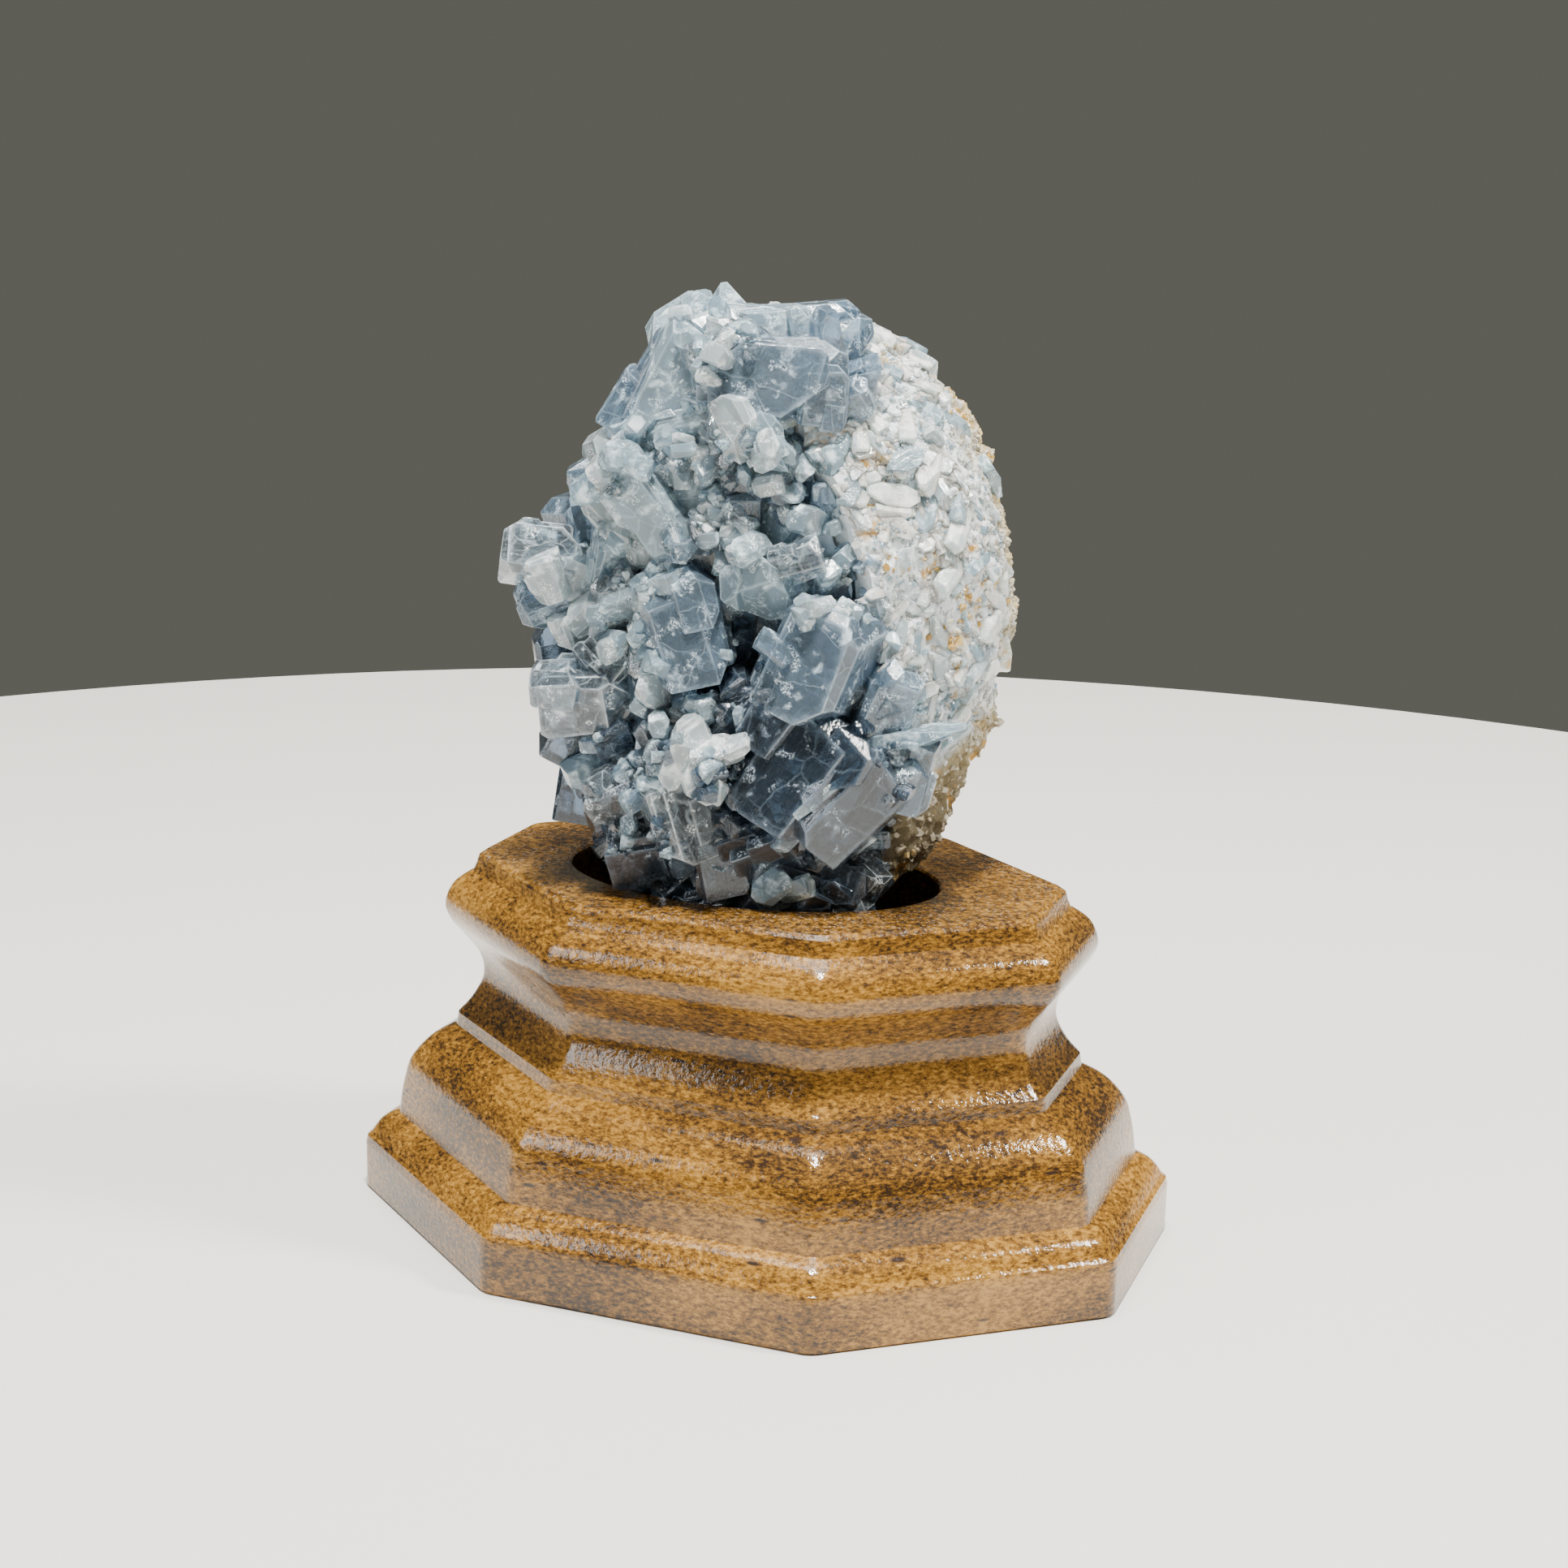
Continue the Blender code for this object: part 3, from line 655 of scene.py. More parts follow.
@dataclass
class Growth:
    """Crystals gathered into one mesh."""

    name: str
    forms: CrystalForms
    fine: bool = False
    points: list = field(default_factory=list)
    local: list = field(default_factory=list)
    tones: list = field(default_factory=list)
    rims: list = field(default_factory=list)
    faces: list = field(default_factory=list)
    worn: list = field(default_factory=list)
    slots: list = field(default_factory=list)
    corners: int = 0
    count: int = 0
    tries: int = 14                      # how often one may shrink to clear the stand
    shrink: float = 0.95
    inward: float = 0.985

    def add(self, form: Form, size: tuple, turn: Matrix, centre: Vector, clarity: Clarity,
            dice: random.Random) -> None:
        """Add one crystal.

        Args:
            form: Which cut.
            size: Width, thickness and length in mm.
            turn: Rotation from the crystal's axes to the specimen's.
            centre: Its middle in the specimen's frame.
            clarity: Its look.
            dice: Seeded source of its variant and tone.
        """
        unit, rims, faces, worn = dice.choice(self.forms.stock[form, self.fine])
        own = unit * np.array(size)
        placed = own @ np.array(turn).T + np.array(centre)
        for _ in range(self.tries):
            if self.clears_stand(placed):
                break
            own = own * self.shrink
            centre = Vector((centre.x * self.inward, centre.y * self.inward, centre.z + 0.1))
            placed = own @ np.array(turn).T + np.array(centre)
        start = self.corners
        self.corners += len(placed)
        self.points.append(placed)
        self.rims.append(rims)
        self.worn += worn
        shift = np.array([dice.uniform(0, 90) for _ in range(3)])
        self.local.append(own + shift)
        self.tones.append(np.full(len(own), dice.random()))
        self.faces += [[start + corner for corner in face] for face in faces]
        self.slots += [clarity.value] * len(faces)
        self.count += 1

    @staticmethod
    def clears_stand(points: np.ndarray) -> bool:
        """Return whether points in the specimen's frame stay out of the stand."""
        low = points[points[:, 2] < STAND_TOP + GAP]
        if not len(low):
            return True
        cos, sin = math.cos(SPECIMEN_TURN), math.sin(SPECIMEN_TURN)
        x = low[:, 0] * cos - low[:, 1] * sin - RECESS_CENTRE[0]
        y = low[:, 0] * sin + low[:, 1] * cos - RECESS_CENTRE[1]
        reach = (x / (RECESS_HALF[0] - GAP)) ** 2 + (y / (RECESS_HALF[1] - GAP)) ** 2
        return bool(reach.max() < 1.0 and low[:, 2].min() > RECESS_FLOOR + GAP)

    def skin(self) -> BVHTree:
        """Return the crystals' surface for finding places on it."""
        return BVHTree.FromPolygons(np.vstack(self.points).tolist(), self.faces)

    def finish(self, materials: list) -> bpy.types.Object:
        """Turn the crystals into one object.

        Args:
            materials: One material for each clarity.

        Returns:
            The piece, at the origin.
        """
        points = np.vstack(self.points)
        place = np.array(specimen_matrix())[:3, :3]
        obj = flat_object(self.name, points @ place.T, self.faces)
        mesh = obj.data
        for material in materials:
            mesh.materials.append(material)
        mesh.polygons.foreach_set("material_index", self.slots)
        local = mesh.attributes.new("crystal_mm", "FLOAT_VECTOR", "POINT")
        local.data.foreach_set("vector", np.vstack(self.local).ravel())
        for name, values in (("tone", self.tones), ("rim", self.rims)):
            layer = mesh.attributes.new(name, "FLOAT", "POINT")
            layer.data.foreach_set("value", np.concatenate(values))
        worn = mesh.attributes.new("worn", "FLOAT", "FACE")
        worn.data.foreach_set("value", np.array(self.worn, dtype=np.float32))
        LOG.info("%s: %d crystals, %d faces", self.name, self.count, len(mesh.polygons))
        return obj


def crystal_turn(lean: float, tilt: float, spin: float) -> Matrix:
    """Return the rotation of a crystal whose broad face looks at the viewer.

    Args:
        lean: Angle of its length from level, in the broad face's plane, radians.
        tilt: How far its tip comes forward, radians.
        spin: Turn about its own length, radians.
    """
    axis = Vector((math.cos(lean) * math.cos(tilt), -math.sin(tilt),
                   math.sin(lean) * math.cos(tilt)))
    return crystal_turn_along(axis, Vector((0, -1, 0)), spin)


def crystal_turn_along(axis: Vector, outward: Vector, spin: float) -> Matrix:
    """Return the rotation that lays a crystal along an axis, broad face outwards.

    Args:
        axis: Unit direction of its length.
        outward: Direction that its broad face looks, roughly.
        spin: Turn about its own length, radians.
    """
    face = (outward - axis * axis.dot(outward)).normalized()
    side = face.cross(axis)
    return Matrix((side, face, axis)).transposed() @ Matrix.Rotation(spin, 3, "Z")


# Crystals placed one by one. Each: right, up, towards the viewer (of its front
# face), length, width, thickness, lean, tilt, spin, form and clarity
# Crystals in shade take the darker blue, as painted shade.
LARGE_CRYSTALS = (
    # crown
    (-7.4, 135.0, 3.0, 12.5, 6.2, 6.0, 99, 0, 15, POINT, MILKY),
    (-0.6, 128.0, 18.0, 21.0, 12.5, 16.0, 3, 0, 4, WORN, BLUE),
    (-4.0, 132.6, 11.0, 22.0, 9.5, 13.0, 2, 0, -20, WORN, MILKY),
    (-12.2, 128.4, 14.0, 14.0, 10.0, 13.0, 70, 0, -8, WORN, MILKY),
    (-15.0, 127.6, 9.5, 16.0, 9.0, 11.0, 62, 0, -16, WORN, BLUE),
    (-12.4, 132.4, 3.0, 11.0, 10.0, 11.0, 30, 0, 20, WORN, MILKY),
    (0.6, 135.6, 6.0, 6.0, 3.0, 5.0, -32, 0, 0, RHOMB, WHITE),
    (5.5, 131.5, 5.0, 13.0, 11.0, 11.0, 95, 0, 10, BLOCK, BLUE),
    (4.2, 132.2, 11.5, 13.0, 3.8, 4.0, 112, 8, 12, BLADE, MILKY),
    (6.6, 131.6, 14.0, 13.5, 4.2, 4.2, 88, 12, 30, BLADE, BLUE),
    (9.2, 131.0, 12.5, 13.0, 4.6, 4.4, 68, 8, -12, BLADE, BLUE),
    (10.8, 127.8, 15.0, 11.0, 4.6, 4.6, 48, 16, 22, BLADE, BLUE),
    (8.4, 125.6, 17.0, 10.0, 6.0, 6.0, 20, 10, 30, BLOCK, BLUE),
    (-18.6, 120.4, 7.0, 9.5, 7.5, 9.0, 118, 5, 15, BLOCK, MILKY),
    # upper left
    (-4.4, 121.8, 22.6, 10.5, 5.6, 5.0, -62, 18, 25, POINT, WHITE),
    (-0.8, 119.6, 22.8, 8.5, 4.8, 5.0, -48, 22, -10, POINT, MILKY),
    (-12.6, 121.6, 14.5, 11.0, 8.0, 8.0, 15, 14, 30, BLOCK, MILKY),
    (-22.6, 116.4, 8.0, 9.0, 7.0, 8.0, 142, 10, 22, BLOCK, WHITE),
    (-17.6, 118.6, 13.0, 8.0, 6.5, 8.0, 118, 18, -8, RHOMB, WHITE),
    (-13.6, 116.6, 16.0, 8.0, 6.5, 7.0, 34, 14, 20, BLOCK, MILKY),
    (-17.2, 110.4, 18.0, 18.5, 7.4, 7.5, -53, 4, 22, BLOCK, MILKY),
    (-21.6, 107.6, 14.5, 14.0, 5.0, 6.0, -48, 4, -12, BLOCK, WHITE),
    (-25.2, 111.0, 6.0, 10.0, 7.6, 9.0, 122, 0, 10, BLOCK, BLUE),
    (-28.4, 105.6, 4.0, 9.0, 7.4, 9.0, 104, 0, 32, BLOCK, BLUE),
    (-33.8, 101.8, 9.0, 10.8, 7.8, 8.2, 172, 4, 25, BLOCK, CLEAR),
    (-32.4, 99.4, 11.0, 7.0, 5.6, 6.0, 110, 12, 0, RHOMB, WHITE),
    (-33.0, 94.4, 7.0, 8.0, 6.0, 6.0, 202, 8, 0, BLOCK, BLUE),
    (-22.4, 102.8, 13.0, 8.0, 6.6, 7.0, 80, 14, 16, BLOCK, MILKY),
    (-27.6, 99.4, 9.0, 9.0, 7.0, 8.0, 152, 8, -12, BLOCK, MILKY),
    # middle
    (-10.2, 113.6, 16.5, 8.0, 6.6, 7.0, 75, 8, -18, BLOCK, MILKY),
    (-5.2, 115.8, 18.5, 10.0, 6.6, 8.0, 82, 8, 8, BLOCK, BLUE),
    (1.4, 115.4, 18.5, 9.0, 8.0, 8.0, 100, 6, 30, BLOCK, BLUE),
    (-5.2, 109.4, 19.0, 8.0, 7.0, 7.0, 96, 10, 24, BLOCK, BLUE),
    (1.6, 109.2, 18.0, 8.0, 6.4, 7.0, 60, 10, -20, BLOCK, MILKY),
    (-9.0, 105.0, 18.0, 10.0, 7.2, 7.0, 104, 4, -8, BLOCK, SMOKY),
    (-5.8, 98.2, 16.5, 9.0, 7.0, 7.0, 80, 4, 20, BLOCK, BLUE),
    (-14.4, 100.4, 16.0, 7.0, 5.6, 6.0, 30, 12, 10, BLOCK, CLEAR),
    (-12.2, 93.4, 22.0, 15.5, 12.0, 11.0, 104, -4, -6, POINT, BLUE),
    (-7.0, 89.0, 17.5, 8.0, 5.0, 7.0, 70, 0, 30, BLOCK, SMOKY),
    (-19.5, 96.4, 15.5, 9.0, 8.0, 8.0, 40, 10, 12, BLOCK, CLEAR),
    (-0.8, 101.0, 23.0, 11.0, 9.0, 9.0, -80, 8, 32, POINT, MILKY),
    (3.4, 104.4, 24.0, 7.0, 6.0, 5.0, 18, 4, 42, RHOMB, CLEAR),
    (2.4, 93.6, 17.0, 11.5, 7.6, 9.0, 88, 0, 0, BLOCK, SMOKY),
    (8.8, 100.6, 19.5, 9.5, 6.0, 7.0, 68, 0, 22, BLOCK, SMOKY),
    (7.4, 90.4, 27.5, 17.0, 12.4, 14.0, 70, 4, -26, BLOCK, BLUE),
    # lower left
    (-26.2, 94.4, 12.0, 5.5, 4.6, 5.0, 35, 18, 12, RHOMB, WHITE),
    (-23.0, 92.8, 14.5, 6.0, 4.6, 5.0, 75, 18, 30, BLOCK, WHITE),
    (-28.8, 91.6, 9.5, 5.0, 4.6, 5.0, 110, 10, 35, BLOCK, WHITE),
    (-31.6, 86.8, 5.0, 9.0, 6.5, 8.0, 98, 0, 10, BLOCK, SMOKY),
    (-22.6, 88.6, 16.0, 7.5, 6.0, 7.0, -42, 16, 0, BLOCK, CLEAR),
    (-26.0, 83.0, 17.0, 13.0, 10.0, 11.0, 2, 4, 18, BLOCK, CLEAR),
    (-28.6, 75.4, 8.0, 9.0, 8.0, 9.0, 60, 0, 12, BLOCK, SMOKY),
    (-27.8, 67.6, 4.0, 12.0, 7.0, 9.0, 82, 0, 0, BLOCK, SMOKY),
    (-20.6, 77.6, 15.0, 9.0, 8.0, 8.0, 30, 6, 30, BLOCK, SMOKY),
    (-15.0, 77.6, 19.0, 9.0, 7.0, 7.0, 120, 6, 10, BLOCK, SMOKY),
    # lower middle
    (-14.0, 84.6, 19.0, 9.0, 7.0, 8.0, 70, 4, 18, BLOCK, SMOKY),
    (-4.4, 82.4, 21.5, 12.5, 11.0, 10.0, 40, 6, 25, BLOCK, SMOKY),
    (-11.0, 79.2, 26.0, 7.0, 5.2, 5.0, 66, 14, 8, POINT, WHITE),
    (-6.4, 77.8, 27.0, 8.0, 4.6, 5.0, 10, 10, 30, SHARD, WHITE),
    (-9.0, 73.8, 26.5, 8.0, 5.4, 5.0, -72, 10, 10, POINT, WHITE),
    (-13.2, 76.0, 24.5, 7.0, 5.0, 5.0, 100, 10, 0, POINT, WHITE),
    (-2.8, 74.2, 22.5, 10.0, 8.0, 8.0, 80, 4, 26, BLOCK, SMOKY),
    (5.2, 75.0, 26.5, 18.5, 16.5, 17.0, 62, 2, -16, BLOCK, SMOKY),
    (10.2, 71.0, 26.5, 17.0, 13.5, 16.0, 50, -6, 20, BLOCK, SMOKY),
    (8.2, 73.6, 27.6, 12.0, 1.5, 3.0, 42, 0, 10, BLADE, MILKY),
    (15.6, 84.4, 23.0, 11.0, 8.5, 9.0, 70, 0, 20, BLOCK, BLUE),
    (19.2, 79.4, 24.0, 17.0, 2.6, 9.0, 12, 4, -8, BLADE, MILKY),
    (18.4, 75.0, 22.0, 12.0, 8.5, 9.0, 74, 0, 16, BLOCK, BLUE),
    (-21.4, 69.6, 18.5, 9.0, 7.0, 8.0, 24, 10, 30, BLOCK, CLEAR),
    (-17.4, 72.0, 20.0, 7.0, 5.0, 6.0, 100, 12, 10, SHARD, CLEAR),
    (-12.4, 67.2, 22.5, 13.0, 9.5, 10.0, 108, 2, 22, BLOCK, CLEAR),
    (-17.6, 60.8, 17.5, 11.0, 8.0, 9.0, 12, 0, 24, BLOCK, SMOKY),
    (-6.8, 61.6, 21.0, 12.0, 7.6, 9.0, 104, 0, 4, BLOCK, SMOKY),
    (-0.2, 62.6, 21.5, 10.0, 9.0, 8.0, 22, 0, 28, BLOCK, SMOKY),
    (6.0, 60.0, 18.5, 11.0, 9.0, 9.0, 70, 0, 12, BLOCK, BLUE),
    # the crown's broad front
    (-1.0, 127.9, 20.0, 16.5, 10.4, 9.0, 2, 2, -9, BLADE, BLUE),
    (5.6, 127.0, 19.4, 8.5, 7.6, 7.0, 84, 4, 14, BLOCK, BLUE),
)


@dataclass
class CrystalCluster:
    """The celestite crystals and the solid mass at their feet."""

    nodule: Nodule
    forms: CrystalForms
    small_count: int = 1100
    small_size: tuple = (1.6, 5.4)
    small_sunk: float = 1.5              # how deep they root under the nodule's skin
    # below this height, half the small crystals take the darker blue, as painted shade
    painted_shade_below: float = 70.0
    cloudy_above: float = 100.0
    druse_count: int = 320
    druse_size: tuple = (1.6, 4.4)
    druse_least: float = 0.20
    sugar_count: int = 900
    sugar_size: tuple = (0.5, 1.5)
    sugar_least: float = 0.42
    rim_reach: tuple = (-21.0, 15.0)     # from left to right
    rim_size: tuple = (4.0, 7.0)
    rim_height: tuple = (53.0, 58.5)
    rim_step: float = math.radians(5.0)
    companions: int = 3
    # A companion's size and steps sideways, outwards and along, as shares of its host's
    companion_size: tuple = (0.35, 0.62)
    companion_steps: tuple = ((0.22, 0.36), (-0.1, 0.24), (-0.36, 0.3))
    seed: int = 5
    # Each large crystal kept bare: right, up, and how far across and up
    bare: tuple = (
        (0.5, 127.0, 10.0, 6.5), (-15.5, 128.0, 5.0, 9.0), (8.0, 90.5, 6.5, 8.5),
        (7.0, 74.0, 9.5, 10.0), (-11.5, 94.5, 6.0, 7.5), (-16.8, 110.0, 5.5, 8.0),
        (-26.0, 83.0, 6.0, 5.5), (0.5, 102.0, 6.0, 6.0), (7.0, 131.0, 7.0, 8.0),
    )

    def build(self) -> list[bpy.types.Object]:
        """Build and dress the crystals.

        Returns:
            The large crystals, the small ones and their foot.
        """
        finishes = [finish.material() for finish in CELESTITE_FINISHES]
        large, skin = self.large(finishes)
        small = self.small(finishes, skin)
        foot = self.foot(MassFinish().material())
        for piece in (large, small, foot):
            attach(piece, "root")
            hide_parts("celestite_crystals")
        return [large, small, foot]

    def large(self, finishes: list) -> tuple[bpy.types.Object, BVHTree]:
        """Build the listed crystals, each with a few grown parallel to it.

        Args:
            finishes: One material for each clarity.

        Returns:
            The crystals and their surface.
        """
        growth = Growth("large_crystals", self.forms, fine=True)
        dice = random.Random(self.seed)
        for row in LARGE_CRYSTALS:
            right, up, front, length, width, thick, lean, tilt, spin, form, clarity = row
            turn = crystal_turn(*(math.radians(angle) for angle in (lean, tilt, spin)))
            centre = Vector((right, -(front - thick / 2), up))
            growth.add(form, (width, thick, length), turn, centre, clarity, dice)
            for _ in range(self.companions):
                share = dice.uniform(*self.companion_size)
                aside, out, along = self.companion_steps
                step = Vector((dice.choice((-1, 1)) * width * dice.uniform(*aside),
                               thick * dice.uniform(*out), length * dice.uniform(*along)))
                size = (width * share, thick * share * 1.2, length * share)
                growth.add(form, size, turn, centre + turn @ step, clarity, dice)
        self.rim_row(growth, dice)
        return growth.finish(finishes), growth.skin()

    def rim_row(self, growth: Growth, dice: random.Random) -> None:
        """Add the row of crystals that leans on the front of the recess's rim."""
        angle = math.pi
        while angle < 2 * math.pi:
            angle += self.rim_step * dice.uniform(0.7, 1.3)
            size = dice.uniform(*self.rim_size)
            reach = 1 - (size * 0.5 + GAP) / RECESS_HALF[1]
            place = Vector((RECESS_CENTRE[0] + RECESS_HALF[0] * reach * math.cos(angle),
                            RECESS_CENTRE[1] + RECESS_HALF[1] * reach * math.sin(angle),
                            dice.uniform(*self.rim_height)))
            place = Matrix.Rotation(-SPECIMEN_TURN, 3, "Z") @ place
            if not self.rim_reach[0] < place.x < self.rim_reach[1]:
                continue
            turn = crystal_turn(dice.uniform(0, math.pi), dice.uniform(-0.2, 0.5),
                                dice.uniform(-0.6, 0.6))
            # The low rim row mostly takes the darker blue, as painted shade.
            clarity = dice.choice((SMOKY, SMOKY, CLEAR))
            growth.add(dice.choice((BLOCK, POINT, RHOMB)),
                       (size, size, size * 1.2), turn, place, clarity, dice)

    def small(self, finishes: list, skin: BVHTree) -> bpy.types.Object:
        """Build the small crystals that fill in between, by rule.

        Args:
            finishes: One material for each clarity.
            skin: The surface of the large crystals.

        Returns:
            The small crystals.
        """
        growth = Growth("small_crystals", self.forms)
        dice = random.Random(self.seed + 1)
        choices = (CLEAR, MILKY, MILKY, BLUE, BLUE)
        low, high = self.small_size
        while growth.count < self.small_count:
            direction = Vector([dice.gauss(0, 1) for _ in range(3)]).normalized()
            point = self.nodule.point(direction, self.small_sunk)
            if self.nodule.side(point) > 1.5 or point.z < RECESS_FLOOR + 6:
                continue
            if direction.y < 0:
                point.y += self.nodule.dent(point)
            size = low + (high - low) * dice.random() ** 1.6
            wander = Vector([dice.uniform(-1, 1) for _ in range(3)])
            axis = (direction + wander * 0.6).normalized()
            turn = axis.to_track_quat("Z", "Y").to_matrix()
            turn = turn @ Matrix.Rotation(dice.uniform(0, math.pi), 3, "Z")
            length = size * dice.uniform(1.0, 1.6)
            # Low down, half of them take the darker blue, as painted shade.
            dark = point.z < self.painted_shade_below and dice.random() < 0.5
            clarity = SMOKY if dark else dice.choice(choices)
            if clarity is CLEAR and point.z > self.cloudy_above:
                clarity = MILKY
            growth.add(dice.choice(list(Form)), (size, size * dice.uniform(0.55, 0.9), length),
                       turn, point + direction * length * 0.12, clarity, dice)
        self.scatter(growth, skin, self.druse_count, self.druse_size, self.druse_least, dice)
        self.scatter(growth, skin, self.sugar_count, self.sugar_size, self.sugar_least, dice)
        return growth.finish(finishes)

    def scatter(self, growth: Growth, skin: BVHTree, count: int, sizes: tuple, least: float,
                dice: random.Random) -> None:
        """Scatter crystals in patches over the large ones, mostly on their ledges.

        Args:
            growth: The crystals to add to.
            skin: The surface to put them on.
            count: How many.
            sizes: Smallest and largest size in mm.
            least: How dense a patch must be to carry any.
            dice: Seeded source of places and turns.
        """
        target = growth.count + count
        low, high = sizes
        pale = (MILKY, WHITE, MILKY, CLEAR)
        shaded = (CLEAR, SMOKY, BLUE, MILKY)
        for _ in range(count * 30):
            if growth.count >= target:
                break
            middle = Vector((dice.uniform(-8, 8), 0, dice.uniform(62, 128)))
            direction = Vector((dice.uniform(-1.4, 1.2), -1.0, dice.uniform(-0.5, 1.3)))
            direction.normalize()
            spot, normal, _, _ = skin.ray_cast(middle + direction * 80, -direction)
            if spot is None or self.nodule.side(spot) > 0 or spot.z < STAND_TOP + 2:
                continue
            if self.kept_clean(spot):
                continue
            lit = spot.z > 95 or (spot.x < -16 and spot.z > 84)
            patch = noise.noise(spot / 5.0) + 0.5 * noise.noise(spot / 2.0)
            bias = 0.25 * normal.z + 0.25 * smooth_step(75, 115, spot.z) - 0.12 * (spot.x > -2)
            if patch + bias < least:
                continue
            size = low + (high - low) * dice.random() ** 1.8
            wander = Vector([dice.uniform(-1, 1) for _ in range(3)])
            axis = (normal + wander * 0.8).normalized()
            turn = axis.to_track_quat("Z", "Y").to_matrix()
            turn = turn @ Matrix.Rotation(dice.uniform(0, math.pi), 3, "Z")
            growth.add(dice.choice((POINT, BLOCK, RHOMB)),
                       (size, size * 0.7, size * 1.35), turn, spot,
                       dice.choice(pale if lit else shaded), dice)

    def kept_clean(self, spot: Vector) -> bool:
        """Return whether a point is on one of the large bare crystals.

        Args:
            spot: A point in the specimen's frame.
        """
        return any(abs(spot.x - x) / across + abs(spot.z - z) / up < 1.15
                   for x, z, across, up in self.bare)

    def foot(self, material: bpy.types.Material) -> bpy.types.Object:
        """Build the solid celestite that the crystals rise from."""
        return nodule_mesh("crystal_foot", self.nodule, 1.9, False, material)


def nodule_mesh(name: str, nodule: Nodule, shrink: float, rock_side: bool,
                material: bpy.types.Material) -> bpy.types.Object:
    """Model one side of the nodule as a rough, closed mesh.

    Args:
        name: Name of the piece.
        nodule: The form.
        shrink: How far under the skin it starts, in mm.
        rock_side: Whether the wall rock is kept, or else the crystals' side.
        material: Its finish.

    Returns:
        The piece, at the origin.
    """
    deselect_everything()
    bpy.ops.mesh.primitive_ico_sphere_add(subdivisions=7 if rock_side else 6, radius=1.0)
    obj = bpy.context.object
    obj.name = obj.data.name = name
    for vert in obj.data.vertices:
        direction = vert.co.normalized()
        point = nodule.point(direction, shrink)
        if direction.y < 0 and not rock_side:
            point.y += nodule.dent(point)
        if point.z > STAND_TOP + 1:
            point += direction * rock_relief(point, nodule, rock_side)
        vert.co = point
    sign = -1.0 if rock_side else 1.0
    bpy.ops.object.mode_set(mode="EDIT")
    bpy.ops.mesh.select_all(action="SELECT")
    bpy.ops.mesh.bisect(plane_co=nodule.break_point - nodule.break_normal * sign * GAP,
                        plane_no=nodule.break_normal * sign, use_fill=True, clear_outer=True)
    bpy.ops.object.mode_set(mode="OBJECT")
    mesh = obj.data
    tones = []
    locals_mm = []
    for vert in mesh.vertices:
        tones.append(nodule.rind(vert.co))
        locals_mm.append(vert.co.copy())
    mesh.transform(specimen_matrix())
    mesh.attributes.new("tone", "FLOAT", "POINT").data.foreach_set("value", tones)
    local = mesh.attributes.new("crystal_mm", "FLOAT_VECTOR", "POINT")
    local.data.foreach_set("vector", np.array(locals_mm).ravel())
    mesh.materials.append(material)
    mesh.polygons.foreach_set("use_smooth", [False] * len(mesh.polygons))
    return obj


# Lumps and grains of the skin: the height and width in mm of each wave
RELIEF = (((1.5, 9.0), (0.7, 4.0)), ((0.45, 1.7), (0.25, 0.8)))


def rock_relief(point: Vector, nodule: Nodule, rock_side: bool) -> float:
    """Return the height of the skin's lumps and grains at a point, in mm."""
    lumps, grains = (sum(height * noise.noise(point / width) for height, width in waves)
                     for waves in RELIEF)
    rough = 1.3 + 1.2 * nodule.rind(point) if rock_side else 1.0
    return lumps + grains * rough


